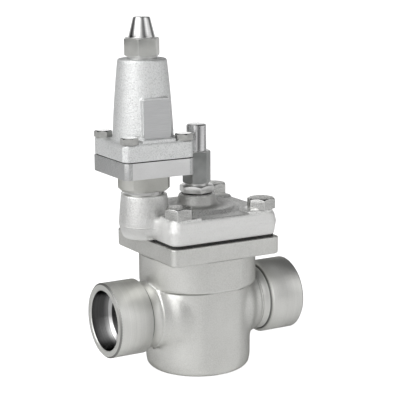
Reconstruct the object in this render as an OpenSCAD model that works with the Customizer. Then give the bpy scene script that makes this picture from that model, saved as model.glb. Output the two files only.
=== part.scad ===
// Pilot-operated pressure regulating valve with weld sockets, shown closed.
// Lengths in millimetres. Origin: centre of the cup's flat base, +Z up, +X along the pipe.

/* [Valve body] */
// Length over the two weld sockets
face_to_face = 176; // [170:1:190]
// Height of the pipe axis above the base
pipe_axis_z = 50.4; // [49.4:0.2:51.4]
// Outer diameter of a weld socket
socket_od = 62; // [58:1:66]
// Bore that takes the pipe end
socket_bore = 48.8; // [46:0.2:50]
// Depth of the pipe seat inside a socket
socket_depth = 16; // [12:1:20]
// Turned length of a socket
socket_length = 29.5; // [26:0.5:31]
// Flow bore behind the pipe seat
port_bore = 38; // [34:1:40]
// Outer diameter of the turned band behind a socket
neck_od = 55; // [52:1:58]
// Length of that band
neck_length = 9; // [7:1:11]
// Wall of the forged cup around the upper chamber
cup_wall = 4.3; // [3.5:0.1:6]
// Rounding between the cup's wall and its flat base
cup_edge = 8; // [5:0.5:12]
// How far the ring below the flange stands out from the cup
ring_step = 4.7; // [3.5:0.1:6]
// Height of the ring's lower edge
ring_bottom_z = 72.8; // [70:0.5:76]
// Width of the vertical flats on cup and ring
flat_width = 30; // [24:1:34]
// Height of the body's top face
body_height = 114.3; // [112:0.5:118]
// Side of the square body flange
flange_width = 100.8; // [99:0.2:104]
// Thickness of the body flange
flange_thickness = 14.4; // [12:0.5:18]
// Corner radius of the body flange
flange_corner = 5.5; // [4:0.5:8]
// Thickness of the cup's floor
floor_thickness = 8; // [7:0.5:9]
// Distance of the upper chamber's wall from the flange's side
chamber_margin = 10.4; // [9.4:0.2:11]
// Step inward from the upper chamber to the lower one
chamber_step = 4; // [2:0.5:5]
// Underside of the wall between the chambers
web_bottom_z = 42; // [41:0.5:43]
// Thickness of that wall
web_thickness = 18; // [17:0.5:18]
// Width of the shelf between the upper chamber and the web's bore
web_shelf = 10; // [9.5:0.25:11]
// Diameter of the slanted passages
passage_d = 30; // [26:1:31]
// Slope of the passages
passage_angle = 38; // [36:1:40]

/* [Cover] */
// Thickness of the cover gasket
cover_gasket_t = 2.1; // [1.5:0.1:3]
// Set-back of the gasket's edge from the flange
cover_gasket_inset = 2.6; // [2:0.2:4]
// Set-back of the cover's sides from the flange's
cover_inset = 0.1; // [-0.5:0.1:1.5]
// Thickness of the cover at its edge
cover_thickness = 19.6; // [18:0.4:24]
// How far the draft takes in each side
cover_draft = 1.4; // [0.6:0.2:2.4]
// Corner radius of the cover
cover_corner = 9; // [7:0.5:11]
// Height of the pads under the bolt heads
pad_height = 1.8; // [1:0.2:3]
// Diameter of those pads
pad_d = 36; // [32:1:38]
// Distance of the bolt axes from the flange's sides
bolt_edge = 11.6; // [11.4:0.1:12]
// Thread diameter of the cover bolts
bolt_d = 14; // [12:0.5:14]
// Width across flats of the bolt heads
bolt_af = 21; // [20:0.5:22]
// Height of the bolt heads
bolt_head_h = 8.6; // [8:0.2:10]
// Thread length that enters the body flange
bolt_reach = 12.5; // [10:0.5:13]
// Radial clearance of the bolts
bolt_clearance = 0.15; // [0.1:0.05:0.2]
// Rise of the dished crown above the cover's edge level
crown_rise = 2.8; // [2:0.2:4]
// Distance of the crown's rounded rim from the cover's side
crown_margin = 18.3; // [17.5:0.2:20]
// Diameter of the centre boss
boss_d = 30; // [28:0.5:32]
// Height of the centre boss above the edge level
boss_height = 12; // [10:0.5:14]
// Depth of the spigot that locates the cover and clamps the module
spigot_depth = 3.4; // [3:0.1:4]
// Depth of the pressure space above the piston
head_space = 5; // [4:0.5:6]

/* [Pilot boss] */
// Distance of the pilot axis from the valve axis
pilot_offset = 49.5; // [48:0.5:52]
// Height of the boss above the cover's edge level
pilot_boss_h = 17.2; // [15:0.2:19]
// Top diameter of the boss
pilot_boss_top_d = 37.9; // [36:0.5:40]
// Diameter of the boss at the parting line
pilot_boss_d = 42.8; // [41:0.5:44]
// Diameter of the boss at the cover's underside
pilot_boss_foot_d = 33; // [31:0.5:36]
// Radius of the plan fillets beside the boss
pilot_boss_fillet = 8; // [6:0.5:9]

/* [Function module and piston] */
// Radial clearance of the module in the body
module_clearance = 0.1; // [0.06:0.02:0.2]
// Thickness of the module's clamped top flange
module_flange_t = 6.7; // [6:0.1:8]
// Wall of the servo cylinder, clearance included
cylinder_wall = 7; // [6.5:0.25:8]
// Wall of the module's foot around the valve seat
seat_wall = 9; // [8.5:0.25:9.5]
// Number of outlet windows
window_count = 4; // [3:1:6]
// Width of each leg between windows
leg_width = 12; // [9:1:14]
// Running clearance of the servo piston and the throttle cone
running_clearance = 0.05; // [0.02:0.01:0.09]
// Height of the servo piston
piston_height = 14; // [13:0.5:15]
// Distance of the piston crown below the cover
piston_drop = 7; // [6:0.5:8]
// Opening travel of the piston and cone
stroke = 12; // [10:0.5:13]
// Diameter of the piston rod
rod_d = 10; // [9:0.5:11]
// Thread diameter at the rod's ends
rod_thread_d = 8; // [7:0.5:8.5]
// How far the seat ring reaches out from the seat's bore
seat_ring_reach = 3.4; // [2.5:0.2:4]
// Height of the throttle cone's ported skirt
skirt_height = 14; // [12:0.5:15]
// Number of V ports in the skirt
v_ports = 4; // [3:1:6]
// Mean diameter of the main spring
main_spring_d = 30; // [28:0.5:31]
// Wire diameter of the main spring
main_spring_wire = 2.6; // [2:0.1:2.8]

/* [Manual spindle] */
// Thickness of the gland gasket
gland_gasket_t = 1.2; // [0.8:0.1:1.8]
// Width across flats of the gland nut
gland_af = 26; // [25:0.5:27]
// Height of the gland nut's hexagon
gland_hex_h = 6.1; // [5:0.2:8]
// Thread diameter of the gland nut in the cover
gland_thread_d = 18; // [17:0.5:19]
// Thread diameter of the gland nut's neck, which takes the cap
gland_neck_d = 15; // [14:0.5:15.5]
// Length of that neck
gland_neck_h = 13; // [11:0.5:15]
// Diameter of the spindle's threaded stem
spindle_d = 8; // [7:0.5:9]
// Diameter of the spindle's guided foot
spindle_foot_d = 12; // [11.5:0.5:13]
// Downward travel of the spindle before it meets the piston
spindle_travel = 5; // [3:0.5:5]
// Thickness of the seal cap's gasket
cap_gasket_t = 1.2; // [0.8:0.1:1.8]
// Width across flats of the spindle seal cap
cap_af = 21; // [20:0.5:22]
// Height of the cap's hexagon
cap_hex_h = 27.3; // [24:0.5:30]
// Diameter of the cap's round top
cap_top_d = 16.6; // [16:0.2:18]
// Height of the cap's round top
cap_top_h = 22; // [20:0.5:26]

/* [Pilot base] */
// Turn of the pilot about its own axis when screwed home
pilot_turn = -1.2; // [-6:0.2:6]
// Turn of the neck's wrench flats against the plate
neck_turn = -5; // [-10:1:10]
// Thickness of the neck gasket
neck_gasket_t = 2.4; // [1.6:0.2:3]
// Outer diameter of the neck gasket
neck_gasket_d = 32.6; // [31:0.5:34]
// Diameter of the round neck
pilot_neck_d = 42.2; // [40:0.5:44]
// Height of the round neck
pilot_neck_h = 14.4; // [12:0.5:17]
// Width across the wrench flats of the neck
neck_flats = 30; // [29:0.5:33]
// Side of the square pilot flanges
plate_width = 61.4; // [60:0.5:64]
// Thickness of the pilot base's plate
plate_t = 13.3; // [12:0.5:15]
// Corner chamfer of that plate
plate_chamfer = 2.4; // [1:0.2:3]
// Thread diameter of the stem in the cover's boss
stem_d = 24; // [22:0.5:25]
// Length of the threaded stem
stem_length = 22; // [20:0.5:23]
// Diameter of the stem's plain tip
stem_tip_d = 16; // [15:0.5:16.5]
// Length of the plain tip
stem_tip_length = 7; // [6:0.5:8]
// Diameter of the space under the diaphragm
sense_d = 38; // [36:0.5:40]
// Depth of that space
sense_depth = 6.8; // [6.4:0.2:8]
// Diameter of the drillings that bring inlet pressure under the diaphragm
sense_way_d = 2.5; // [2:0.25:2.5]
// Diameter of the pilot orifice bush
orifice_od = 12; // [11:0.5:13]
// Bore of the pilot orifice
orifice_bore = 4; // [3:0.2:5]
// Opening travel of the pilot
pilot_lift = 0.6; // [0.4:0.1:1]

/* [Pilot bonnet] */
// Thickness of the diaphragm
diaphragm_t = 0.8; // [0.5:0.1:1]
// Thickness of the bonnet's square flange
bonnet_flange_t = 13.8; // [12:0.5:16]
// Corner radius of the bonnet's flange
bonnet_corner = 5; // [4:0.5:7]
// Pitch of the bonnet screws along a side
screw_pitch = 48.5; // [48:0.25:49]
// Thread diameter of the bonnet screws
screw_d = 8; // [7:0.5:8]
// Width across flats of the screw heads
screw_af = 13; // [12:0.5:14]
// Height of the screw heads
screw_head_h = 5.4; // [5:0.2:6]
// Depth to which the screws enter the base
screw_reach = 11; // [8:0.5:11.5]
// Height of the bonnet's tower above its flange
tower_height = 64.4; // [62:0.5:70]
// Diameter of the tower at its foot
tower_foot_d = 49.6; // [48:0.4:52]
// Diameter of the tower at its top
tower_top_d = 40; // [39:0.5:42]
// Outward bow of the tower's side
tower_bow = 0.5; // [0:0.1:1.2]
// Diameter of the spring space inside the tower
spring_room_d = 34; // [33:0.5:35]
// Thickness of the tower's top wall
tower_roof = 16; // [14:0.5:18]
// Width of the flat land for a plate
land_width = 24.6; // [22:0.2:27]
// Height of that land
land_height = 33.7; // [30:0.1:36]
// Sideways offset of the land from the tower's centre
land_shift = 0.4; // [0:0.1:0.8]
// Distance of the land from the pilot axis
land_offset = 24.2; // [23.4:0.1:25]
// Height of the plinth in front of the land
plinth_h = 2.4; // [1:0.1:3]
// Diameter of the threaded neck on the tower
tower_neck_d = 17; // [16:0.5:18]
// Height of that neck above the tower
tower_neck_h = 10; // [8:0.5:11]
// Mean diameter of the setting spring
setting_spring_d = 24; // [22:0.5:25]
// Wire diameter of the setting spring
setting_spring_wire = 3.6; // [3:0.1:4]
// Diameter of the adjusting screw
adjuster_d = 10; // [9:0.5:11]
// Downward travel of the adjusting screw
adjuster_travel = 10; // [8:0.5:11]

/* [Pilot cap] */
// Thickness of the pilot cap's gasket
pilot_cap_gasket_t = 1.7; // [1:0.1:2.4]
// Outer diameter of that gasket
pilot_cap_gasket_d = 24.4; // [23:0.4:26]
// Width across flats of the pilot cap
pilot_cap_af = 26; // [25:0.5:28]
// Height of the pilot cap's hexagon
pilot_cap_hex_h = 15.2; // [14:0.2:18]
// Diameter of the cone's foot
cone_foot_d = 21.4; // [20:0.2:23]
// Diameter of the cone's tip
cone_tip_d = 14.1; // [13:0.2:15]
// Height of the cone
cone_h = 16.1; // [15:0.2:18]

/* [Hidden] */
$fn = 96;
eps = 0.01;
thread_gap = 0.1;
seat_gap = 0.05;

// turns of the cover bolts' and bonnet screws' heads: front left, rear left, front right, rear right
bolt_turns = [-3, 8, 10, 3];
screw_turns = [26, 29, 16, 6];

half_length = face_to_face / 2;
upper_chamber_d = flange_width - 2 * chamber_margin;
lower_chamber_d = upper_chamber_d - 2 * chamber_step;
web_bore = upper_chamber_d - 2 * web_shelf;
cup_r = upper_chamber_d / 2 + cup_wall;
ring_r = cup_r + ring_step;
hub_r = cup_r - 6;
web_top_z = web_bottom_z + web_thickness;

cover_width = flange_width - 2 * cover_inset;
bolt_pitch = flange_width - 2 * bolt_edge;
cover_z = body_height + cover_gasket_t;
cover_mid_z = cover_z + cover_thickness * 0.56;
edge_z = cover_z + cover_thickness;
pad_z = edge_z + pad_height;
boss_z = edge_z + boss_height;
pilot_boss_z = edge_z + pilot_boss_h;
spigot_z = cover_z - spigot_depth;
spigot_r = upper_chamber_d / 2 + 3;

cylinder_bore = upper_chamber_d - 2 * cylinder_wall;
seat_bore = web_bore - 2 * seat_wall;
seat_ring_d = seat_bore + 2 * seat_ring_reach;
module_top_z = spigot_z;
module_step_z = module_top_z - module_flange_t;
module_bottom_z = web_bottom_z + 2;
module_r = upper_chamber_d / 2 - module_clearance - 0.1;
module_foot_r = web_bore / 2 - module_clearance;
module_groove_w = 3;
module_groove_drop = 12.5;
module_groove_z = module_step_z - module_groove_drop;
cylinder_bottom_z = module_top_z - piston_drop - piston_height - stroke - 3;
window_bottom_z = web_top_z + 4;

piston_top_z = module_top_z - piston_drop;
piston_r = cylinder_bore / 2 - running_clearance;
crown_t = 5;
rod_nut_h = 4.5;
piston_web_z = piston_top_z - crown_t - 3;

cone_r = seat_bore / 2 - running_clearance - 0.05;
cone_step = 4;
lip_z = module_bottom_z;
seat_ring_t = 5;
retainer_top_z = lip_z - seat_ring_t;
retainer_t = 5;
retainer_z = retainer_top_z - retainer_t;
spring_pocket = 2.5;
retainer_r = seat_ring_d / 2 + 1.6;
support_z = floor_thickness;
support_t = 2;

gland_z = boss_z + gland_gasket_t;
neck_z = gland_z + gland_hex_h;
cap_z = neck_z + cap_gasket_t;
cap_shoulder_z = cap_z + cap_hex_h;
cap_top_z = cap_shoulder_z + cap_top_h;
gland_depth = 15;
foot_drop = 6;
foot_top_z = boss_z - gland_depth - foot_drop;
spindle_tip_z = piston_top_z + spindle_travel + 0.15;

base_z = pilot_boss_z + neck_gasket_t;
plate_z = base_z + pilot_neck_h;
plate_top_z = plate_z + plate_t;
bonnet_z = plate_top_z + diaphragm_t;
bonnet_top_z = bonnet_z + bonnet_flange_t;
tower_z = bonnet_top_z + tower_height;
stem_z = base_z - stem_length;
tip_z = stem_z - stem_tip_length;
sense_z = plate_top_z - sense_depth;
sense_r = (stem_d + stem_tip_d) / 4;
sense_turn = 60;
dish = 1;
pad_foot_z = bonnet_z + dish;
pressure_pad_t = 5;
pad_r = spring_room_d / 2 - 1;
dish_r = pad_r - 3;
guide_r = setting_spring_d / 2 - setting_spring_wire / 2 - 0.5;
guide_h = 5;
spring_foot_z = pad_foot_z + pressure_pad_t;
roof_z = tower_z - tower_roof;
seat_t = 4;
seat_drop = 4;
seat_top_z = roof_z - seat_drop;
seat_z = seat_top_z - seat_t;
adjuster_tip_z = seat_top_z - 2.5;
pilot_cap_z = tower_z + pilot_cap_gasket_t;
cone_z = pilot_cap_z + pilot_cap_hex_h;
apex_z = cone_z + cone_h;

forged = [0.78, 0.79, 0.8];
cast = [0.84, 0.85, 0.86];
steel = [0.66, 0.67, 0.69];
polished = [0.74, 0.75, 0.78];
spring_steel = [0.45, 0.46, 0.48];
dark = [0.12, 0.12, 0.13];
polymer = [0.93, 0.93, 0.9];

// A square with rounded corners.
module rounded_square(width, corner) {
    side = width - 2 * corner;
    square([width, side], center = true);
    square([side, width], center = true);
    for (x = [-1, 1], y = [-1, 1])
        translate([x * side / 2, y * side / 2])
            circle(corner);
}

// A square with its corners cut at 45 degrees.
module cut_square(width, cut) {
    h = width / 2;
    polygon([[h - cut, -h], [h, -h + cut], [h, h - cut], [h - cut, h],
        [-h + cut, h], [-h, h - cut], [-h, -h + cut], [-h + cut, -h]]);
}

// A thin rounded slab, used as one section of a cast outline.
module slab(width, corner, z) {
    translate([0, 0, z])
        linear_extrude(0.02)
            rounded_square(width, corner, $fn = 32);
}

// Places children at the four corners of a square pitch, each with its own turn.
module at_corners(pitch, turns = [0, 0, 0, 0]) {
    for (x = [0, 1], y = [0, 1])
        translate([(x - 0.5) * pitch, (y - 0.5) * pitch, 0])
            rotate([0, 0, turns[2 * x + y]])
                children();
}

// A hexagon with turned chamfers at its ends.
module hex_solid(af, height, top = 1, bottom = 0) {
    corner = af / 2 / cos(30);
    land = af / 2 - 0.4;
    drop = (corner - land) * tan(30) + 0.02;
    intersection() {
        cylinder(h = height, r = corner, $fn = 6);
        rotate_extrude()
            polygon([[0, 0], [bottom > 0 ? land : corner + 1, 0], [corner + 0.01, bottom > 0 ? drop : 0],
                [corner + 1, height / 2], [corner + 0.01, height - (top > 0 ? drop : 0)],
                [top > 0 ? land : corner + 1, height], [0, height]]);
    }
}

// A ring of rectangular section.
module washer(outer, inner, height) {
    difference() {
        cylinder(h = height, r = outer);
        translate([0, 0, -1])
            cylinder(h = height + 2, r = inner);
    }
}

// An O-ring of mean radius and cord radius, centred on z = 0.
module oring(mean, cord) {
    rotate_extrude()
        translate([mean, 0])
            circle(cord, $fn = 32);
}

// Height along a closed-end compression spring, where u runs over its turns.
function coil_z(u, turns, wire, height) =
    let (open = height - 3 * wire, live = turns - 2)
    u < 1 ? u * wire :
    u > turns - 1 ? height - wire - (turns - u) * wire :
    wire + (u - 1) * open / live;

// A compression spring with closed ends, swept as one tube from z = 0 upward.
module coil(mean, wire, height, turns, sides = 8, per_turn = 16) {
    rings = turns * per_turn;
    points = [for (i = [0 : rings], j = [0 : sides - 1])
        let (u = i / per_turn, a = 360 * u, b = 360 * j / sides,
            r = mean + wire / 2 * cos(b),
            z = wire / 2 + coil_z(u, turns, wire, height) + wire / 2 * sin(b))
        [r * cos(a), r * sin(a), z]];
    walls = [for (i = [0 : rings - 1], j = [0 : sides - 1], k = [0, 1])
        let (a = i * sides + j, b = i * sides + (j + 1) % sides, c = a + sides, d = b + sides)
        k == 0 ? [a, b, d] : [a, d, c]];
    first = [for (j = [sides - 1 : -1 : 0]) j];
    last = [for (j = [0 : sides - 1]) rings * sides + j];
    polyhedron(points, concat([first], walls, [last]), convexity = 8);
}

// Forged cup and ring below the flange, as one turned form.
module cup_form() {
    rotate_extrude() {
        square([cup_r - cup_edge, cup_edge + eps]);
        translate([0, cup_edge])
            square([cup_r, body_height - flange_thickness - cup_edge + 1]);
        translate([cup_r - cup_edge, cup_edge])
            circle(cup_edge);
        polygon([[cup_r - 2, ring_bottom_z - 5], [cup_r, ring_bottom_z - 2.2],
            [cup_r + 0.8, ring_bottom_z - 0.6], [ring_r - 1.6, ring_bottom_z],
            [ring_r, ring_bottom_z + 1.6], [ring_r, body_height - flange_thickness + 1],
            [cup_r - 2, body_height - flange_thickness + 1]]);
    }
}

// Cup and ring with their two vertical flats.
module flatted_form() {
    cup_flat = sqrt(cup_r * cup_r - flat_width * flat_width / 4);
    ring_flat = sqrt(ring_r * ring_r - flat_width * flat_width / 4);
    intersection() {
        cup_form();
        union() {
            translate([-ring_r - 1, -cup_flat, -1])
                cube([2 * ring_r + 2, 2 * cup_flat, body_height + 1]);
            translate([-ring_r - 1, -ring_flat, ring_bottom_z])
                cube([2 * ring_r + 2, 2 * ring_flat, body_height]);
        }
    }
}

// One pipe branch along +X: neck, band, step and weld socket.
module branch() {
    start = half_length - socket_length;
    step = (socket_od - neck_od) / 2 * 0.63;
    band = start - step;
    root = band - neck_length;
    hub = neck_od / 2 + 1.4;
    weld = 1.2;
    rotate([0, 90, 0])
        rotate_extrude()
            polygon([[0, 0], [hub_r, 0], [hub_r, cup_r * 0.4], [hub_r - 2, cup_r * 0.62],
                [hub_r - 3, cup_r * 0.75], [hub_r - 5, cup_r * 0.83], [hub + 1.2, cup_r * 0.92],
                [hub + 0.3, cup_r * 0.99], [hub, root - 1], [hub - 0.8, root - 0.3], [neck_od / 2, root],
                [neck_od / 2, band], [socket_od / 2, start], [socket_od / 2, half_length - weld],
                [socket_od / 2 - weld, half_length], [0, half_length]]);
}

// Pipe seat and flow bore of one socket, along +X.
module port() {
    translate([half_length - socket_depth, 0, 0])
        rotate([0, 90, 0])
            cylinder(h = socket_depth + 1, d = socket_bore);
    translate([half_length - socket_depth - 18, 0, 0])
        rotate([0, 90, 0])
            cylinder(h = 19, d = port_bore);
    translate([half_length - 1, 0, 0])
        rotate([0, 90, 0])
            cylinder(h = 1.02, r1 = socket_bore / 2 - eps, r2 = socket_bore / 2 + 1);
}

// Slanted passage from a flow bore to its chamber, heading inward and up or down.
module passage(way) {
    translate([half_length - 30, 0, 0])
        rotate([0, -90 + way * passage_angle, 0])
            translate([0, 0, -3])
                cylinder(h = half_length - 30, d = passage_d);
    translate([half_length - 30, 0, 0])
        sphere(d = passage_d);
}

module valve_body() {
    color(forged)
    difference() {
        union() {
            flatted_form();
            translate([0, 0, body_height - flange_thickness]) {
                translate([0, 0, 1])
                    linear_extrude(flange_thickness - 1)
                        rounded_square(flange_width, flange_corner);
                linear_extrude(1 + eps)
                    rounded_square(flange_width - 1.6, flange_corner - 0.6);
            }
            translate([0, 0, pipe_axis_z])
                for (side = [0, 180])
                    rotate([0, 0, side])
                        branch();
        }
        // chambers above and below the web, the web bore and the module's seat
        translate([0, 0, floor_thickness])
            cylinder(h = web_bottom_z - floor_thickness, d = lower_chamber_d);
        translate([0, 0, web_bottom_z - 1])
            cylinder(h = web_thickness + 2, d = web_bore);
        translate([0, 0, web_top_z])
            cylinder(h = body_height, d = upper_chamber_d);
        translate([0, 0, module_step_z])
            cylinder(h = body_height, r = spigot_r);
        // inlet on -X runs down to the lower chamber, outlet on +X comes from the upper one
        translate([0, 0, pipe_axis_z]) {
            port();
            rotate([0, 0, 180])
                port();
            passage(1);
            rotate([0, 0, 180])
                passage(-1);
        }
        at_corners(bolt_pitch)
            translate([0, 0, body_height - flange_thickness - 1])
                cylinder(h = flange_thickness + 2, d = bolt_d);
        sense_way(pipe_axis_z + 6, body_height + 1);
    }
}

// Straight part of the sensing way, from the inlet passage up to the pilot's thread.
module sense_way(from_z, to_z) {
    translate([-pilot_offset, 0, from_z])
        rotate([0, 0, sense_turn])
            translate([sense_r, 0, 0])
                cylinder(h = to_z - from_z, d = sense_way_d);
}

module cover_gasket() {
    color(dark)
    translate([0, 0, body_height])
        difference() {
            linear_extrude(cover_gasket_t)
                rounded_square(flange_width - 2 * cover_gasket_inset, flange_corner + 1);
            translate([0, 0, -1]) {
                cylinder(h = cover_gasket_t + 2, r = spigot_r + 0.3);
                at_corners(bolt_pitch)
                    cylinder(h = cover_gasket_t + 2, d = bolt_d + 1);
                sense_way(0, cover_gasket_t + 2);
            }
        }
}

// Crown and centre boss of the cover, as one turned form standing on the edge level.
module crown() {
    rim = cover_width / 2 - crown_margin;
    b = boss_d / 2;
    translate([0, 0, edge_z])
        rotate_extrude()
            polygon([[0, -2], [rim + 5, -2], [rim + 5, 0], [rim + 1.2, crown_rise - 0.7],
                [rim - 0.4, crown_rise - 0.1], [rim - 2, crown_rise], [rim - 5, crown_rise - 0.5],
                [b + 5.4, crown_rise - 0.7], [b + 3.4, crown_rise - 0.1], [b + 2.3, crown_rise + 1],
                [b + 1.8, crown_rise + 2.4], [b, boss_height - 0.8], [b - 0.8, boss_height],
                [0, boss_height]]);
}

// Pilot boss on the cover's inlet side, with its plan fillets.
module pilot_boss() {
    r = pilot_boss_d / 2;
    f = pilot_boss_fillet;
    edge = cover_width / 2 - cover_draft;
    fx = edge + f;
    fy = sqrt(pow(r + f, 2) - pow(fx - pilot_offset, 2));
    translate([-pilot_offset, 0, 0]) {
        translate([0, 0, cover_mid_z])
            cylinder(h = pilot_boss_z - cover_mid_z - 1.5, r1 = r, r2 = pilot_boss_top_d / 2);
        translate([0, 0, pilot_boss_z - 1.5])
            cylinder(h = 1.5, r1 = pilot_boss_top_d / 2, r2 = pilot_boss_top_d / 2 - 1.2);
        translate([0, 0, cover_z + 1.6])
            cylinder(h = cover_mid_z - cover_z - 1.6, r1 = pilot_boss_foot_d / 2 + 1.6, r2 = r);
        translate([0, 0, cover_z])
            cylinder(h = 1.6, r1 = pilot_boss_foot_d / 2 - 0.6, r2 = pilot_boss_foot_d / 2 + 1.6);
    }
    translate([0, 0, cover_z + 4])
        linear_extrude(cover_thickness - 5.5)
            difference() {
                translate([-fx, -fy])
                    square([f + 4, 2 * fy]);
                for (y = [-fy, fy])
                    translate([-fx, y])
                        circle(f);
                translate([-fx - 1, 0])
                    square([2.4, 2 * fy], center = true);
            }
}

module top_cover() {
    w = cover_width;
    d = 2 * cover_draft;
    bore_r = stem_d / 2 + thread_gap;
    color(cast)
    difference() {
        union() {
            hull() {
                slab(w - d - 1.6, cover_corner - 2, cover_z);
                slab(w - d, cover_corner - 1, cover_z + 1.4);
                slab(w, cover_corner, cover_mid_z);
                slab(w - d, cover_corner - 1, edge_z - 2.2);
                slab(w - d - 3.4, cover_corner - 2, edge_z - 0.02);
            }
            intersection() {
                translate([0, 0, edge_z - 2])
                    linear_extrude(pad_height + 2)
                        rounded_square(w - d - 2.6, cover_corner - 1.6);
                at_corners(bolt_pitch) {
                    translate([0, 0, edge_z - 3])
                        cylinder(h = pad_height + 2.2, d = pad_d);
                    translate([0, 0, pad_z - 0.8])
                        cylinder(h = 0.8, r1 = pad_d / 2, r2 = pad_d / 2 - 0.8);
                }
            }
            crown();
            pilot_boss();
            translate([0, 0, spigot_z])
                cylinder(h = spigot_depth + 1, r = spigot_r - 0.3);
        }
        at_corners(bolt_pitch)
            translate([0, 0, cover_z - 1])
                cylinder(h = cover_thickness + pad_height + 2, r = bolt_d / 2 + 0.5);
        // pressure space over the piston
        translate([0, 0, spigot_z - 1])
            cylinder(h = head_space + 1, r = cylinder_bore / 2 - 2);
        // spindle guide and gland thread
        cylinder(h = boss_z, r = spindle_foot_d / 2 + running_clearance);
        translate([0, 0, boss_z - gland_depth - 0.5])
            cylinder(h = gland_depth + 1.5, r = gland_thread_d / 2 + thread_gap);
        // pilot thread, tip bore and the drilled way to the pressure space
        translate([-pilot_offset, 0, 0]) {
            translate([0, 0, stem_z - 0.5])
                cylinder(h = stem_length + 1.5, r = bore_r);
            translate([0, 0, tip_z - 1])
                cylinder(h = stem_tip_length + 2, r = stem_tip_d / 2 + 0.1);
        }
        sense_way(cover_z - 1, stem_z);
        translate([-pilot_offset + 3, 0, tip_z - 0.5])
            rotate([0, 101, 0])
                cylinder(h = pilot_offset - cylinder_bore / 2 + 6, r = 2.5);
    }
}

module cover_bolts() {
    color(steel)
    at_corners(bolt_pitch, bolt_turns) {
        translate([0, 0, pad_z])
            hex_solid(bolt_af, bolt_head_h);
        translate([0, 0, body_height - bolt_reach])
            cylinder(h = pad_z - body_height + bolt_reach + eps, r = bolt_d / 2 - bolt_clearance);
    }
}

module function_module() {
    top_r = spigot_r - 0.3;
    color(steel)
    difference() {
        rotate_extrude()
            difference() {
                polygon([[seat_bore / 2, lip_z], [seat_ring_d / 2 - 0.6, lip_z],
                    [module_foot_r - 1, lip_z + 2.4], [module_foot_r, lip_z + 3.4],
                    [module_foot_r, web_top_z + 0.5],
                    [module_r - 1.5, web_top_z + 0.5], [module_r - 1.5, cylinder_bottom_z + 2],
                    [module_r, cylinder_bottom_z + 3.5], [module_r, module_step_z],
                    [top_r, module_step_z], [top_r, module_top_z],
                    [cylinder_bore / 2, module_top_z], [cylinder_bore / 2, window_bottom_z],
                    [seat_bore / 2 + 3, window_bottom_z], [seat_bore / 2, window_bottom_z - 3]]);
                translate([module_r - 2.6, module_groove_z - module_groove_w / 2])
                    square([4, module_groove_w]);
                translate([module_foot_r - 2.6, pipe_axis_z - module_groove_w / 2])
                    square([4, module_groove_w]);
            }
        for (i = [0 : window_count - 1])
            rotate([0, 0, 45 + 360 * i / window_count])
                module_window();
    }
}

// The space between two legs of the function module.
module module_window() {
    far = module_r + 5;
    side = 180 / window_count;
    inset = leg_width / 2;
    reach = far / cos(side);
    translate([0, 0, window_bottom_z])
        linear_extrude(cylinder_bottom_z - window_bottom_z)
            polygon([[inset / sin(side), 0], [inset / sin(side) + reach * cos(side), -reach * sin(side)],
                [inset / sin(side) + reach * cos(side), reach * sin(side)]]);
}

module module_upper_oring() {
    color(dark)
    translate([0, 0, module_groove_z])
        oring(module_r - 1.25, 1.3);
}

module module_lower_oring() {
    color(dark)
    translate([0, 0, pipe_axis_z])
        oring(module_foot_r - 1.25, 1.3);
}

module servo_piston() {
    bore = rod_thread_d / 2 + seat_gap;
    color(steel)
    rotate_extrude()
        difference() {
            polygon([[bore, piston_web_z], [14, piston_web_z], [16, piston_top_z - piston_height + 4],
                [piston_r - 5.5, piston_top_z - piston_height + 4],
                [piston_r - 4.5, piston_top_z - piston_height],
                [piston_r - 0.5, piston_top_z - piston_height],
                [piston_r, piston_top_z - piston_height + 0.5], [piston_r, piston_top_z - 0.5],
                [piston_r - 0.5, piston_top_z], [14, piston_top_z],
                [13, piston_top_z - crown_t], [bore, piston_top_z - crown_t]]);
            translate([piston_r - 2.6, piston_top_z - 8.5])
                square([4, 3]);
        }
}

module piston_ring() {
    color(polymer)
    translate([0, 0, piston_top_z - 8.45])
        washer(piston_r + 0.01, piston_r - 2.5, 2.9);
}

module piston_rod() {
    thread = rod_thread_d / 2;
    color(polished)
    rotate_extrude()
        polygon([[0, retainer_z - 1.5], [thread - 0.6, retainer_z - 1.5], [thread, retainer_z - 0.9],
            [thread, lip_z + 1.5], [rod_d / 2, lip_z + 1.5], [rod_d / 2, piston_web_z - 4],
            [rod_d / 2 + 3, piston_web_z - 3], [rod_d / 2 + 3, piston_web_z],
            [thread, piston_web_z], [thread, piston_top_z - 0.6], [thread - 0.6, piston_top_z],
            [0, piston_top_z]]);
}

module rod_nut() {
    color(steel)
    translate([0, 0, piston_top_z - crown_t])
        difference() {
            hex_solid(rod_thread_d + 6, rod_nut_h, 1, 0);
            translate([0, 0, -1])
                cylinder(h = rod_nut_h + 2, r = rod_thread_d / 2 + seat_gap);
        }
}

module throttle_cone() {
    bore = rod_thread_d / 2 + seat_gap;
    wall = 3;
    hub = 9;
    half_port = 6.5;
    color(steel)
    difference() {
        rotate_extrude()
            polygon([[bore, retainer_top_z], [cone_r - cone_step, retainer_top_z],
                [cone_r - cone_step, lip_z - 2.5], [cone_r, lip_z - 2.5],
                [cone_r, lip_z + skirt_height - 0.4],
                [cone_r - 0.4, lip_z + skirt_height], [cone_r - wall, lip_z + skirt_height],
                [cone_r - wall, lip_z + 2], [hub, lip_z + 1.5], [bore, lip_z + 1.5]]);
        // V ports that open the skirt by degrees
        for (i = [0 : v_ports - 1])
            rotate([90, 0, 360 * i / v_ports + 20])
                linear_extrude(cone_r + 2)
                    polygon([[0, lip_z + 2.5], [half_port, lip_z + skirt_height + 1],
                        [-half_port, lip_z + skirt_height + 1]]);
    }
}

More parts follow.
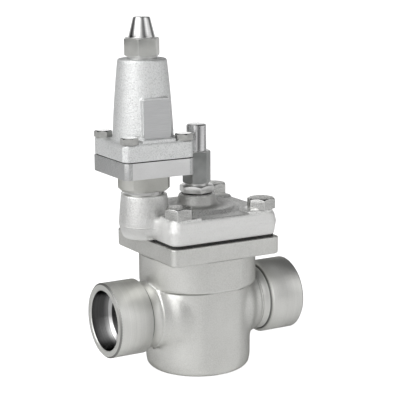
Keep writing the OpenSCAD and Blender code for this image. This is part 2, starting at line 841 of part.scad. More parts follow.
module seat_ring() {
    outer = seat_ring_d / 2;
    inner = cone_r - cone_step + seat_gap;
    color(polymer)
    rotate_extrude()
        polygon([[inner, retainer_top_z], [outer, retainer_top_z], [outer, lip_z], [cone_r + 0.1, lip_z],
            [cone_r + 0.1, lip_z - 2.5 - seat_gap], [inner, lip_z - 2.5 - seat_gap]]);
}

module seat_retainer() {
    bore = rod_thread_d / 2 + seat_gap;
    color(steel)
    rotate_extrude()
        polygon([[bore, retainer_z + spring_pocket], [main_spring_d / 2 + 3, retainer_z + spring_pocket],
            [main_spring_d / 2 + 3, retainer_z], [retainer_r - 1, retainer_z],
            [retainer_r, retainer_z + 1], [retainer_r, lip_z - 2],
            [seat_ring_d / 2 + seat_gap, lip_z - 2], [seat_ring_d / 2 + seat_gap, retainer_top_z],
            [bore, retainer_top_z]]);
}

module cone_nut() {
    height = 3.6;
    color(steel)
    translate([0, 0, retainer_z + spring_pocket - height])
        difference() {
            hex_solid(rod_thread_d + 6, height, 0, 1);
            translate([0, 0, -1])
                cylinder(h = height + 2, r = rod_thread_d / 2 + seat_gap);
        }
}

module main_spring() {
    foot = support_z + support_t + seat_gap;
    color(spring_steel)
    translate([0, 0, foot])
        coil(main_spring_d / 2, main_spring_wire, retainer_z + spring_pocket - seat_gap - foot, 5);
}

module spring_support() {
    guide = main_spring_d / 2 - main_spring_wire / 2 - 0.6;
    color(steel)
    translate([0, 0, support_z])
        rotate_extrude()
            polygon([[3, 0], [main_spring_d / 2 + 5, 0], [main_spring_d / 2 + 5, support_t],
                [guide, support_t], [guide - 1, support_t + 3], [3, support_t + 3]]);
}

module gland_gasket() {
    color(dark)
    translate([0, 0, boss_z])
        washer(gland_af / 2 - 0.3, gland_thread_d / 2 + 0.2, gland_gasket_t);
}

module gland_nut() {
    color(steel)
    difference() {
        union() {
            translate([0, 0, gland_z])
                rotate([0, 0, 14])
                    hex_solid(gland_af, gland_hex_h, 1, 0);
            translate([0, 0, boss_z - gland_depth])
                cylinder(h = gland_depth + gland_gasket_t + 1, d = gland_thread_d);
            translate([0, 0, neck_z - 1])
                cylinder(h = gland_neck_h, d = gland_neck_d);
            translate([0, 0, neck_z + gland_neck_h - 1])
                cylinder(h = 1, d1 = gland_neck_d, d2 = gland_neck_d - 2);
        }
        translate([0, 0, boss_z - gland_depth - 1])
            cylinder(h = neck_z + gland_neck_h - boss_z + gland_depth + 2,
                r = spindle_d / 2 + running_clearance);
    }
}

module manual_spindle() {
    foot = spindle_foot_d / 2;
    stem = spindle_d / 2;
    color(polished)
    difference() {
        rotate_extrude()
            difference() {
                polygon([[0, spindle_tip_z], [3.2, spindle_tip_z], [4.4, spindle_tip_z + 1.2],
                    [4.4, spigot_z + head_space], [foot, spigot_z + head_space + 1],
                    [foot, foot_top_z], [stem, foot_top_z + 1.2],
                    [stem, neck_z + gland_neck_h + 9.2], [stem - 0.8, neck_z + gland_neck_h + 10],
                    [0, neck_z + gland_neck_h + 10]]);
                translate([foot - 1.8, foot_top_z - 5])
                    square([4, 2.2]);
            }
        translate([-0.9, -10, neck_z + gland_neck_h + 7.5])
            cube([1.8, 20, 4]);
    }
}

module spindle_oring() {
    color(dark)
    translate([0, 0, foot_top_z - 3.9])
        oring(spindle_foot_d / 2 - 0.85, 0.87);
}

module spindle_cap_gasket() {
    color(steel)
    translate([0, 0, neck_z])
        washer(cap_af / 2 - 0.8, gland_neck_d / 2 + 0.25, cap_gasket_t);
}

module spindle_cap() {
    top_r = cap_top_d / 2;
    color(polished)
    difference() {
        union() {
            translate([0, 0, cap_z])
                rotate([0, 0, 45])
                    hex_solid(cap_af, cap_hex_h, 1, 1);
            translate([0, 0, cap_shoulder_z - 1])
                cylinder(h = cap_top_h, r = top_r);
            translate([0, 0, cap_top_z - 1])
                cylinder(h = 1, r1 = top_r, r2 = top_r - 1);
        }
        translate([0, 0, cap_z - 1])
            cylinder(h = gland_neck_h + 1.5, r = gland_neck_d / 2 + thread_gap);
        cylinder(h = cap_top_z - 4, r = spindle_d / 2 + 1.2);
    }
}

// Moves children to the pilot's axis and turn.
module on_pilot() {
    translate([-pilot_offset, 0, 0])
        rotate([0, 0, pilot_turn])
            children();
}

module pilot_neck_gasket() {
    color(polished)
    on_pilot()
        translate([0, 0, pilot_boss_z])
            washer(neck_gasket_d / 2, stem_d / 2 + 0.3, neck_gasket_t);
}

module pilot_base() {
    r = pilot_neck_d / 2;
    color(steel)
    on_pilot()
    difference() {
        union() {
            translate([0, 0, plate_z])
                linear_extrude(plate_t)
                    cut_square(plate_width, plate_chamfer);
            intersection() {
                translate([0, 0, base_z])
                    union() {
                        cylinder(h = 2.4, r1 = r - 2.6, r2 = r);
                        translate([0, 0, 2.4])
                            cylinder(h = pilot_neck_h, r = r);
                    }
                rotate([0, 0, neck_turn])
                    translate([-r - 1, -neck_flats / 2, base_z - 1])
                        cube([2 * r + 2, neck_flats, pilot_neck_h + 3]);
            }
            translate([0, 0, stem_z])
                cylinder(h = stem_length + 1, d = stem_d);
            translate([0, 0, tip_z])
                cylinder(h = stem_tip_length + 1, d = stem_tip_d);
        }
        // space under the diaphragm, orifice seat, bore down the stem and the sense drilling
        translate([0, 0, sense_z])
            cylinder(h = sense_depth + 1, d = sense_d);
        translate([0, 0, sense_z - 9])
            cylinder(h = 10, d = orifice_od);
        translate([0, 0, tip_z - 1])
            cylinder(h = sense_z - tip_z, d = orifice_bore + 2);
        translate([-sense_r, 0, stem_z - 0.5])
            cylinder(h = sense_z - stem_z + 1, d = sense_way_d);
        translate([0, 0, tip_z + 2.2])
            washer(stem_tip_d, stem_tip_d / 2 - 2.1, 2.6);
        at_corners(screw_pitch)
            translate([0, 0, plate_top_z - screw_reach - 1])
                cylinder(h = screw_reach + 2, d = screw_d);
    }
}

module stem_oring() {
    color(dark)
    translate([-pilot_offset, 0, tip_z + 3.5])
        oring(stem_tip_d / 2 - 0.95, 1.02);
}

module pilot_orifice() {
    color(polished)
    on_pilot()
        translate([0, 0, sense_z])
            rotate_extrude()
                polygon([[orifice_bore / 2, -8], [orifice_od / 2 - seat_gap, -8],
                    [orifice_od / 2 - seat_gap, 0.4], [orifice_bore / 2 + 1.6, 0.4],
                    [orifice_bore / 2 + 0.6, 1.6], [orifice_bore / 2, 1.6]]);
}

module pilot_plug() {
    seat = orifice_bore / 2;
    head = orifice_od / 2 - 1.6;
    color(polished)
    on_pilot()
        translate([0, 0, sense_z])
            rotate_extrude()
                polygon([[0, -2], [0.6, -2], [seat - 0.4, 0.8], [seat - 0.05, 1.65],
                    [seat + 0.4, 1.65], [seat + 0.6, 3], [head, 3], [head, sense_depth - 1],
                    [head - 1, sense_depth - 0.1], [0, sense_depth - 0.1]]);
}

module pilot_lifting_spring() {
    color(spring_steel)
    on_pilot()
        translate([0, 0, sense_z + 0.45])
            coil(orifice_bore / 2 + 2, 0.5, 2.5, 3, 6, 12);
}

// Outline of the square diaphragm with its four screw holes.
module diaphragm_sheet() {
    difference() {
        linear_extrude(diaphragm_t)
            rounded_square(plate_width - 1.4, bonnet_corner);
        translate([0, 0, -1]) {
            cylinder(h = diaphragm_t + 2, d = sense_d - 2);
            at_corners(screw_pitch)
                cylinder(h = diaphragm_t + 2, d = screw_d + 0.8);
        }
    }
}

module diaphragm() {
    t = diaphragm_t;
    edge = sense_d / 2 - 0.5;
    color(dark)
    on_pilot()
        translate([0, 0, plate_top_z]) {
            diaphragm_sheet();
            rotate_extrude()
                polygon([[0, t * 0.4], [dish_r - 3, t * 0.4], [dish_r, t * 0.9], [edge, 0], [edge, t],
                    [dish_r + 0.4, t + dish - 0.02], [0, t + dish - 0.02]]);
        }
}

module pressure_pad() {
    color(steel)
    on_pilot()
        translate([0, 0, pad_foot_z])
            rotate_extrude()
                polygon([[0, 0], [dish_r, 0], [pad_r - 0.4, 1.6], [pad_r, 2.2], [pad_r, pressure_pad_t],
                    [guide_r, pressure_pad_t], [guide_r - 1, pressure_pad_t + guide_h],
                    [0, pressure_pad_t + guide_h]]);
}

module setting_spring() {
    foot = spring_foot_z + seat_gap;
    color(spring_steel)
    on_pilot()
        translate([0, 0, foot])
            coil(setting_spring_d / 2, setting_spring_wire, seat_z - seat_gap - foot, 7);
}

module spring_seat() {
    color(steel)
    on_pilot()
        translate([0, 0, seat_z])
            rotate_extrude()
                polygon([[0, -guide_h + 1], [guide_r - 1, -guide_h + 1], [guide_r, 0], [pad_r, 0],
                    [pad_r, seat_t - 1], [pad_r - 1, seat_t],
                    [adjuster_d / 2 + 0.4, seat_t], [adjuster_d / 2 - 1, adjuster_tip_z - seat_z],
                    [0, adjuster_tip_z - seat_z]]);
}

module adjusting_screw() {
    r = adjuster_d / 2;
    top = tower_z + tower_neck_h + 12;
    color(polished)
    difference() {
        translate([-pilot_offset, 0, 0])
            rotate_extrude()
                polygon([[0, adjuster_tip_z + seat_gap], [r - 1.6, adjuster_tip_z + seat_gap],
                    [r, seat_top_z], [r, top - 1], [r - 1, top], [0, top]]);
        translate([-pilot_offset - 0.9, -10, top - 3])
            cube([1.8, 20, 4]);
    }
}

module screw_oring() {
    color(dark)
    translate([-pilot_offset, 0, tower_z + 3])
        oring(adjuster_d / 2 + 1.15, 1.08);
}

// Side of the tower: radius at a share of its height, with a slight outward bow.
function tower_r(s) = (tower_foot_d + (tower_top_d - tower_foot_d) * s) / 2
    + tower_bow * 4 * s * (1 - s);

module tower_form() {
    steps = 10;
    shoulder = 1.8;
    h = tower_height - shoulder;
    side = [for (i = [0 : steps]) [tower_r(i / steps), h * i / steps]];
    rotate_extrude()
        polygon(concat([[0, -2], [tower_foot_d / 2, -2]], side,
            [[tower_top_d / 2 - 0.55, tower_height - 0.5], [tower_top_d / 2 - 1.8, tower_height],
            [0, tower_height]]));
}

module pilot_bonnet() {
    w = plate_width;
    neck_r = tower_neck_d / 2;
    color(cast)
    on_pilot()
    difference() {
        union() {
            translate([0, 0, bonnet_z]) {
                linear_extrude(bonnet_flange_t - 1.2)
                    rounded_square(w, bonnet_corner);
                hull() {
                    slab(w, bonnet_corner, bonnet_flange_t - 1.3);
                    slab(w - 2.4, bonnet_corner - 1, bonnet_flange_t - 0.02);
                }
                // raised half of the flange's inlet-side face
                translate([-w / 2 - 0.9, -w / 2 + bonnet_corner - 1, 0.3])
                    cube([4, w / 2 - 1, bonnet_flange_t - 2]);
            }
            translate([0, 0, bonnet_top_z]) {
                tower_form();
                rotate_extrude()
                    polygon([[0, -1], [tower_foot_d / 2 + 1.5, -1], [tower_foot_d / 2 + 1.4, 0.05],
                        [tower_foot_d / 2 + 0.5, 0.6], [tower_foot_d / 2, 2], [0, 2]]);
                // plinth and flat land for a plate
                translate([-land_width / 2 - 2.4, -w / 2 + 1.6, -1])
                    cube([land_width + 4.8, 16, plinth_h + 1]);
                translate([land_shift, 0, land_height / 2])
                    rotate([90, 0, 0])
                        linear_extrude(land_offset)
                            translate([0, 0.5])
                                scale([land_width / (land_height + 1), 1])
                                    rounded_square(land_height + 1, 2.4);
            }
            translate([0, 0, tower_z - 1])
                cylinder(h = tower_neck_h, r = neck_r);
            translate([0, 0, tower_z + tower_neck_h - 1])
                cylinder(h = 1, r1 = neck_r, r2 = neck_r - 1);
        }
        // front of the land, cut flat where the foot of the tower is wider
        translate([land_shift - land_width / 2, -land_offset - 10, bonnet_top_z + plinth_h])
            cube([land_width, 10, land_height - plinth_h]);
        translate([0, 0, bonnet_z - 1])
            cylinder(h = roof_z - bonnet_z + 1, d = spring_room_d);
        translate([0, 0, bonnet_z - 1])
            cylinder(h = 3.4, d = sense_d);
        translate([0, 0, roof_z - 1])
            cylinder(h = 60, r = adjuster_d / 2 + running_clearance);
        translate([0, 0, tower_z + 1.7])
            cylinder(h = 2.6, r = adjuster_d / 2 + 2.3);
        at_corners(screw_pitch)
            translate([0, 0, bonnet_z - 1])
                cylinder(h = bonnet_flange_t + 2, r = screw_d / 2 + 0.35);
    }
}

module bonnet_screws() {
    color(steel)
    on_pilot()
    at_corners(screw_pitch, screw_turns) {
        translate([0, 0, bonnet_top_z])
            hex_solid(screw_af, screw_head_h);
        translate([0, 0, plate_top_z - screw_reach])
            cylinder(h = bonnet_top_z - plate_top_z + screw_reach + eps, r = screw_d / 2 - bolt_clearance);
    }
}

module pilot_cap_gasket() {
    color(polished)
    translate([-pilot_offset, 0, tower_z + eps])
        washer(pilot_cap_gasket_d / 2, tower_neck_d / 2 + 0.3, pilot_cap_gasket_t - eps);
}

module pilot_cap() {
    color(polished)
    translate([-pilot_offset, 0, 0])
    difference() {
        union() {
            translate([0, 0, pilot_cap_z])
                rotate([0, 0, 52])
                    hex_solid(pilot_cap_af, pilot_cap_hex_h, 1, 1);
            rotate_extrude()
                polygon([[0, cone_z - 1], [cone_foot_d / 2, cone_z - 1], [cone_foot_d / 2, cone_z + 0.4],
                    [cone_tip_d / 2, apex_z - 1], [cone_tip_d / 2 - 0.35, apex_z - 0.3],
                    [cone_tip_d / 2 - 1.1, apex_z], [0, apex_z]]);
        }
        translate([0, 0, pilot_cap_z - 1])
            cylinder(h = tower_neck_h - pilot_cap_gasket_t + 2, r = tower_neck_d / 2 + thread_gap);
        translate([0, 0, pilot_cap_z - 1])
            cylinder(h = tower_neck_h + 14, r = adjuster_d / 2 + 0.6);
    }
}

valve_body();
cover_gasket();
top_cover();
cover_bolts();
function_module();
module_upper_oring();
module_lower_oring();
servo_piston();
piston_ring();
piston_rod();
rod_nut();
throttle_cone();
seat_ring();
seat_retainer();
cone_nut();
main_spring();
spring_support();
gland_gasket();
gland_nut();
manual_spindle();
spindle_oring();
spindle_cap_gasket();
spindle_cap();
pilot_neck_gasket();
pilot_base();
stem_oring();
pilot_orifice();
pilot_plug();
pilot_lifting_spring();
diaphragm();
pressure_pad();
setting_spring();
spring_seat();
adjusting_screw();
screw_oring();
pilot_bonnet();
bonnet_screws();
pilot_cap_gasket();
pilot_cap();
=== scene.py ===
# Pilot-operated pressure regulating valve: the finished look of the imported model.
# Everything is in metres in the valve's own frame: the cup's base at Z 0, the pipe along X.
import math

import bmesh
import bpy
from mathutils import Matrix, Vector


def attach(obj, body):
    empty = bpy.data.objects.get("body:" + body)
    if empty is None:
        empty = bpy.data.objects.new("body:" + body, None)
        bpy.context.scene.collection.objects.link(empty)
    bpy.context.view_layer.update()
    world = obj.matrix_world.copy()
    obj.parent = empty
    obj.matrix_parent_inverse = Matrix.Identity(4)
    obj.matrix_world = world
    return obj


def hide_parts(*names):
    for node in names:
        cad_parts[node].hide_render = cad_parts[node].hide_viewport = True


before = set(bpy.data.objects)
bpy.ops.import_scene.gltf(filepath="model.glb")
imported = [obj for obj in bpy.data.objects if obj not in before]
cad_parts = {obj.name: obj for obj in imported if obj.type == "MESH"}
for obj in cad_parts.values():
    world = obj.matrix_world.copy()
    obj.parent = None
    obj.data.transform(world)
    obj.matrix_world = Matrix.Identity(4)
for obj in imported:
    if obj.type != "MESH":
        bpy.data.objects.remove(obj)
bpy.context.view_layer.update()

# Studio: a pale paper floor that runs out of the picture, in a dark room with large soft boxes hung
# round the valve, as steel is photographed. The camera stands where the photographer did.
bpy.context.scene.view_settings.view_transform = "Standard"
paper = bmesh.new()
bmesh.ops.create_grid(paper, x_segments=1, y_segments=1, size=40)
floor_mesh = bpy.data.meshes.new("paper_floor")
paper.to_mesh(floor_mesh)
paper.free()
floor = bpy.data.objects.new("paper_floor", floor_mesh)
bpy.context.collection.objects.link(floor)
floor_look = bpy.data.materials.new("white_paper")
floor_look.use_nodes = True
floor_bsdf = floor_look.node_tree.nodes["Principled BSDF"]
floor_bsdf.inputs["Base Color"].default_value = (0.9, 0.9, 0.9, 1)
floor_bsdf.inputs["Roughness"].default_value = 0.9
floor_bsdf.inputs["Specular IOR Level"].default_value = 0.1
floor_bsdf.inputs["Emission Color"].default_value = (1, 1, 1, 1)
seen = floor_look.node_tree.nodes.new("ShaderNodeLightPath")
lift = floor_look.node_tree.nodes.new("ShaderNodeMath")
FLOOR_GLOW, FLOOR_SEEN = 0.098, 0.67
lift.operation = "MULTIPLY_ADD"
lift.inputs[1].default_value, lift.inputs[2].default_value = FLOOR_SEEN, FLOOR_GLOW
floor_look.node_tree.links.new(seen.outputs["Is Camera Ray"], lift.inputs[0])
floor_look.node_tree.links.new(lift.outputs[0], floor_bsdf.inputs["Emission Strength"])
floor_mesh.materials.append(floor_look)

room = bpy.data.worlds.new("studio_room")
bpy.context.scene.world = room
room.use_nodes = True
room_nodes, room_links = room.node_tree.nodes, room.node_tree.links
room_way = room_nodes.new("ShaderNodeTexCoord").outputs["Generated"]
# each soft box: its compass angle from the front, its height angle, how small it is, and its brightness
SOFT_BOXES = (
    (-90, 34, 16, 2.99), (-60, 34, 16, 1.58), (-60, 6, 16, 1.10), (-90, 64, 12, 0.96), (-30, 6, 16, 0.53),
    (-30, 34, 16, 0.17), (30, 34, 16, 1.24), (30, 6, 16, 0.44), (60, 6, 16, 0.82), (120, 34, 16, 0.13),
    (120, 6, 16, 0.53), (150, 6, 16, 0.97), (180, 6, 16, 0.81), (-150, 34, 16, 0.23))


def direction(around, rise):
    """The way from the valve to a place at that compass angle from the front and that height angle."""
    turn, lean = math.radians(around), math.radians(rise)
    return Vector((math.sin(turn) * math.cos(lean), -math.cos(turn) * math.cos(lean), math.sin(lean)))


glow = 0.0
for around, rise, tight, strength in SOFT_BOXES:
    toward = room_nodes.new("ShaderNodeVectorMath")
    toward.operation = "DOT_PRODUCT"
    toward.inputs[1].default_value = direction(around, rise)
    facing, falloff, box = (room_nodes.new("ShaderNodeMath") for _ in range(3))
    for node, operation, number in (
            (facing, "MAXIMUM", 0), (falloff, "POWER", tight), (box, "MULTIPLY_ADD", strength)):
        node.operation = operation
        node.inputs[1].default_value = number
    room_links.new(room_way, toward.inputs[0])
    room_links.new(toward.outputs["Value"], facing.inputs[0])
    room_links.new(facing.outputs[0], falloff.inputs[0])
    room_links.new(falloff.outputs[0], box.inputs[0])
    if isinstance(glow, float):
        box.inputs[2].default_value = glow
    else:
        room_links.new(glow, box.inputs[2])
    glow = box.outputs[0]
backdrop = room_nodes.new("ShaderNodeMix")
room_links.new(room_nodes.new("ShaderNodeLightPath").outputs["Is Camera Ray"], backdrop.inputs[0])
room_links.new(glow, backdrop.inputs[2])
backdrop.inputs[3].default_value = 1.0
room_nodes["Background"].inputs["Color"].default_value = (1, 1, 1, 1)
room_links.new(backdrop.outputs[0], room_nodes["Background"].inputs["Strength"])

camera_data = bpy.data.cameras.new("photographer")
camera_data.sensor_width = 36
camera_data.lens = 118.98
camera_data.clip_start, camera_data.clip_end = 0.05, 200
camera = bpy.data.objects.new("photographer", camera_data)
bpy.context.collection.objects.link(camera)
bpy.context.scene.camera = camera
AIMED_AT, CAMERA_AWAY = Vector((0.00233, -0.00134, 0.14147)), 1.10249
CAMERA_AROUND, CAMERA_RISE, CAMERA_ROLL = -30.06, 11.47, -0.37
back = direction(CAMERA_AROUND, CAMERA_RISE)
right = Vector((math.cos(math.radians(CAMERA_AROUND)), math.sin(math.radians(CAMERA_AROUND)), 0))
up = back.cross(right)
roll = math.radians(CAMERA_ROLL)
right, up = right * math.cos(roll) + up * math.sin(roll), up * math.cos(roll) - right * math.sin(roll)
facing_valve = Matrix((right, up, back)).transposed().to_4x4()
camera.matrix_world = Matrix.Translation(AIMED_AT + back * CAMERA_AWAY) @ facing_valve

# Body forging: one steel forging with cup, ring and bolted flange, blasted to an even satin grey.
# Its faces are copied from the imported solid, rounded as a forging is, and cut at the turned necks.
NECK_CUT = 0.0497
UNDER_FLANGE = 0.090


def steel_look(name):
    """A new metal material, its node tree, its BSDF and the piece's own place, ready for a pattern."""
    look = bpy.data.materials.new(name)
    look.use_nodes = True
    bsdf = look.node_tree.nodes["Principled BSDF"]
    bsdf.inputs["Metallic"].default_value = 1.0
    bsdf.distribution = "MULTI_GGX"
    return look, look.node_tree, bsdf, look.node_tree.nodes.new("ShaderNodeTexCoord").outputs["Object"]


def math_node(tree, operation, *values):
    """One Math node with numbers or links on its inputs; returns its output."""
    node = tree.nodes.new("ShaderNodeMath")
    node.operation = operation
    for i, value in enumerate(values):
        if isinstance(value, (int, float)):
            node.inputs[i].default_value = value
        else:
            tree.links.new(value, node.inputs[i])
    return node.outputs[0]


def ramp_node(tree, value, low, high, low_out, high_out):
    """A clamped Map Range from value to an output between low_out and high_out."""
    node = tree.nodes.new("ShaderNodeMapRange")
    tree.links.new(value, node.inputs["Value"])
    for socket, number in zip(("From Min", "From Max", "To Min", "To Max"), (low, high, low_out, high_out)):
        node.inputs[socket].default_value = number
    return node.outputs[0]


def all_of(tree, *masks):
    """Where all the masks hold, as their product."""
    product = masks[0]
    for mask in masks[1:]:
        product = math_node(tree, "MULTIPLY", product, mask)
    return product


def mix_node(tree, factor, first, second):
    """A colour mix by factor; first and second are colours or links."""
    node = tree.nodes.new("ShaderNodeMix")
    node.data_type = "RGBA"
    tree.links.new(factor, node.inputs[0])
    for socket, value in ((6, first), (7, second)):
        if isinstance(value, (tuple, list)):
            node.inputs[socket].default_value = (*value, 1)
        else:
            tree.links.new(value, node.inputs[socket])
    return node.outputs[2]


def bump_node(tree, height, strength, depth):
    """A Bump node of that depth in metres; returns its normal."""
    node = tree.nodes.new("ShaderNodeBump")
    node.inputs["Strength"].default_value = strength
    node.inputs["Distance"].default_value = depth
    tree.links.new(height, node.inputs["Height"])
    return node.outputs[0]


def new_group(name, inputs, outputs):
    """An empty shader node group with those named float inputs (vector if named Place) and outputs."""
    group = bpy.data.node_groups.new(name, "ShaderNodeTree")
    for label, value in inputs.items():
        kind = "NodeSocketVector" if label == "Place" else "NodeSocketFloat"
        socket = group.interface.new_socket(label, in_out="INPUT", socket_type=kind)
        if kind == "NodeSocketFloat":
            socket.default_value = value
    for label in outputs:
        group.interface.new_socket(label, in_out="OUTPUT", socket_type="NodeSocketFloat")
    return group, group.nodes.new("NodeGroupInput"), group.nodes.new("NodeGroupOutput")


def place_group(tree, group, place, **values):
    """Puts a shared group in a material, fed by place; returns its node."""
    node = tree.nodes.new("ShaderNodeGroup")
    node.node_tree = group
    tree.links.new(place, node.inputs["Place"])
    for label, value in values.items():
        node.inputs[label].default_value = value
    return node


# shot-blasted grain: fine peaks, scattered pits and a slow change of tone
blasted_grain, grain_in, grain_out = new_group(
    "blasted_grain", {"Place": 0, "Grain": 900.0, "Tone Scale": 45.0}, ("Height", "Tone", "Speck"))
tree = blasted_grain
peaks = tree.nodes.new("ShaderNodeTexNoise")
peaks.inputs["Detail"].default_value = 3.0
peaks.inputs["Roughness"].default_value = 0.65
tree.links.new(grain_in.outputs["Place"], peaks.inputs["Vector"])
tree.links.new(grain_in.outputs["Grain"], peaks.inputs["Scale"])
pits = tree.nodes.new("ShaderNodeTexVoronoi")
pits.feature = "SMOOTH_F1"
pits.inputs["Smoothness"].default_value = 0.6
tree.links.new(grain_in.outputs["Place"], pits.inputs["Vector"])
tree.links.new(math_node(tree, "MULTIPLY", grain_in.outputs["Grain"], 0.7), pits.inputs["Scale"])
clouds = tree.nodes.new("ShaderNodeTexNoise")
clouds.inputs["Detail"].default_value = 4.0
tree.links.new(grain_in.outputs["Place"], clouds.inputs["Vector"])
tree.links.new(grain_in.outputs["Tone Scale"], clouds.inputs["Scale"])
tree.links.new(math_node(tree, "MULTIPLY_ADD", peaks.outputs["Fac"], 0.7,
                 math_node(tree, "MULTIPLY", pits.outputs["Distance"], 0.5)), grain_out.inputs["Height"])
tree.links.new(ramp_node(tree, clouds.outputs["Fac"], 0.3, 0.7, 0.0, 1.0), grain_out.inputs["Tone"])
tree.links.new(ramp_node(tree, peaks.outputs["Fac"], 0.35, 0.65, 0.0, 1.0), grain_out.inputs["Speck"])

# turned surface: rings round an axis, some fine and some broad
lathe_rings, rings_in, rings_out = new_group(
    "lathe_rings", {"Place": 0, "Along X": 0.0, "Centre X": 0.0, "Centre Z": 0.0, "Pitch": 0.0004},
    ("Height", "Tone"))
tree = lathe_rings
split = tree.nodes.new("ShaderNodeSeparateXYZ")
tree.links.new(rings_in.outputs["Place"], split.inputs[0])
off_x = math_node(tree, "SUBTRACT", split.outputs["X"], rings_in.outputs["Centre X"])
off_z = math_node(tree, "SUBTRACT", split.outputs["Z"], rings_in.outputs["Centre Z"])
square_y = math_node(tree, "MULTIPLY", split.outputs["Y"], split.outputs["Y"])


def choose(tree, about_z, about_x):
    """about_z where the piece was turned about Z, about_x where it was turned about X."""
    difference = math_node(tree, "SUBTRACT", about_x, about_z)
    return math_node(tree, "MULTIPLY_ADD", difference, rings_in.outputs["Along X"], about_z)


across = choose(tree, off_x, off_z)
axial = choose(tree, split.outputs["Z"], split.outputs["X"])
reach = math_node(tree, "SQRT", math_node(tree, "MULTIPLY_ADD", across, across, square_y))
travel = math_node(tree, "MULTIPLY_ADD", reach, 0.83, axial)
cut = math_node(tree, "DIVIDE", travel, rings_in.outputs["Pitch"])
fine_cut = tree.nodes.new("ShaderNodeTexNoise")
fine_cut.noise_dimensions = "1D"
fine_cut.inputs["Scale"].default_value = 1.0
fine_cut.inputs["Detail"].default_value = 2.0
tree.links.new(cut, fine_cut.inputs["W"])
broad_cut = tree.nodes.new("ShaderNodeTexNoise")
broad_cut.noise_dimensions = "1D"
broad_cut.inputs["Scale"].default_value = 0.14
tree.links.new(cut, broad_cut.inputs["W"])
tree.links.new(fine_cut.outputs["Fac"], rings_out.inputs["Height"])
both_cuts = math_node(tree, "MULTIPLY_ADD", fine_cut.outputs["Fac"], 0.5,
                      math_node(tree, "MULTIPLY", broad_cut.outputs["Fac"], 0.5))
tree.links.new(ramp_node(tree, both_cuts, 0.3, 0.7, 0.0, 1.0), rings_out.inputs["Tone"])


def packed_copy(node):
    """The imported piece's mesh as a bmesh, with its loose triangles joined."""
    mesh = bmesh.new()
    mesh.from_mesh(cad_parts[node].data)
    bmesh.ops.remove_doubles(mesh, verts=mesh.verts, dist=1e-6)
    return mesh


def new_piece(name, mesh, look, body, *nodes, slot):
    """Makes a bmesh a piece of the valve with its material, on its body, in place of those nodes."""
    data = bpy.data.meshes.new(name)
    mesh.to_mesh(data)
    mesh.free()
    data.materials.append(look)
    piece = bpy.data.objects.new(name, data)
    bpy.context.collection.objects.link(piece)
    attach(piece, body)
    if nodes:
        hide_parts(*nodes)
    return piece


def rounded_skin(mesh, grain, rounds, most):
    """Turns a casting's solid into an even skin of that grain, and rounds it as casting does, by the
    number of passes that rounds gives for a place. It is then thinned to about that many triangles."""
    data = bpy.data.meshes.new("skin")
    mesh.to_mesh(data)
    mesh.free()
    holder = bpy.data.objects.new("skin", data)
    bpy.context.collection.objects.link(holder)
    remesh = holder.modifiers.new("skin", "REMESH")
    remesh.mode, remesh.voxel_size, remesh.adaptivity = "VOXEL", grain, 0
    even = bpy.data.meshes.new_from_object(holder.evaluated_get(bpy.context.evaluated_depsgraph_get()))
    skin = bmesh.new()
    skin.from_mesh(even)
    soft = [(v, rounds(v.co)) for v in skin.verts]
    done = 0
    while soft := [pair for pair in soft if pair[1] > done]:
        bmesh.ops.smooth_vert(skin, verts=[v for v, _ in soft], factor=0.5,
                              use_axis_x=True, use_axis_y=True, use_axis_z=True)
        done += 1
    skin.to_mesh(even)
    skin.free()
    holder.modifiers.clear()
    holder.data = even
    faces = sum(len(f.vertices) - 2 for f in even.polygons)
    if faces > most:
        thin = holder.modifiers.new("thin", "DECIMATE")
        thin.ratio = most / faces
        even = bpy.data.meshes.new_from_object(holder.evaluated_get(bpy.context.evaluated_depsgraph_get()))
    result = bmesh.new()
    result.from_mesh(even)
    for face in result.faces:
        face.smooth = True
    bpy.data.objects.remove(holder)
    return result


# thread cut round an upright axis
screw_thread, thread_in, thread_out = new_group(
    "screw_thread", {"Place": 0, "Centre X": 0.0, "Pitch": 0.0015}, ("Height",))
tree = screw_thread
split = tree.nodes.new("ShaderNodeSeparateXYZ")
tree.links.new(thread_in.outputs["Place"], split.inputs[0])
around = math_node(tree, "ARCTAN2", split.outputs["Y"],
                   math_node(tree, "SUBTRACT", split.outputs["X"], thread_in.outputs["Centre X"]))
climb = math_node(tree, "DIVIDE", split.outputs["Z"], thread_in.outputs["Pitch"])
step = math_node(tree, "FRACT", math_node(tree, "MULTIPLY_ADD", around, -1 / math.tau, climb))
flank = math_node(tree, "MULTIPLY_ADD", step, 2.0, -1.0)
tree.links.new(math_node(tree, "ABSOLUTE", flank), thread_out.inputs["Height"])


def split_place(tree, place):
    """The X, Y and Z of a place, as the outputs of one node."""
    split = tree.nodes.new("ShaderNodeSeparateXYZ")
    tree.links.new(place, split.inputs[0])
    return split


def distance_node(tree, place, centre_x=0.0, centre_z=None):
    """Distance from an upright axis at centre_x, or from the pipe's axis at centre_z; also X, Y and Z."""
    split = split_place(tree, place)
    if centre_z is None:
        off = math_node(tree, "SUBTRACT", split.outputs["X"], centre_x)
    else:
        off = math_node(tree, "SUBTRACT", split.outputs["Z"], centre_z)
    side = math_node(tree, "MULTIPLY", split.outputs["Y"], split.outputs["Y"])
    return math_node(tree, "SQRT", math_node(tree, "MULTIPLY_ADD", off, off, side)), split


def edge_tones(tree, tone, bright, dark):
    """The tone of a dense skin, with its outer edges rubbed towards bright and its creases darkened as painted
    shade.
    """
    shape = tree.nodes.new("ShaderNodeNewGeometry").outputs["Pointiness"]
    tone = mix_node(tree, ramp_node(tree, shape, 0.52, 0.60, 0, 0.6), tone, bright)
    return mix_node(tree, ramp_node(tree, shape, 0.485, 0.43, 0, 0.8), tone, dark)


PIPE_Z = 0.0504
NECK_R, NECK_START = 0.0279, 0.0472
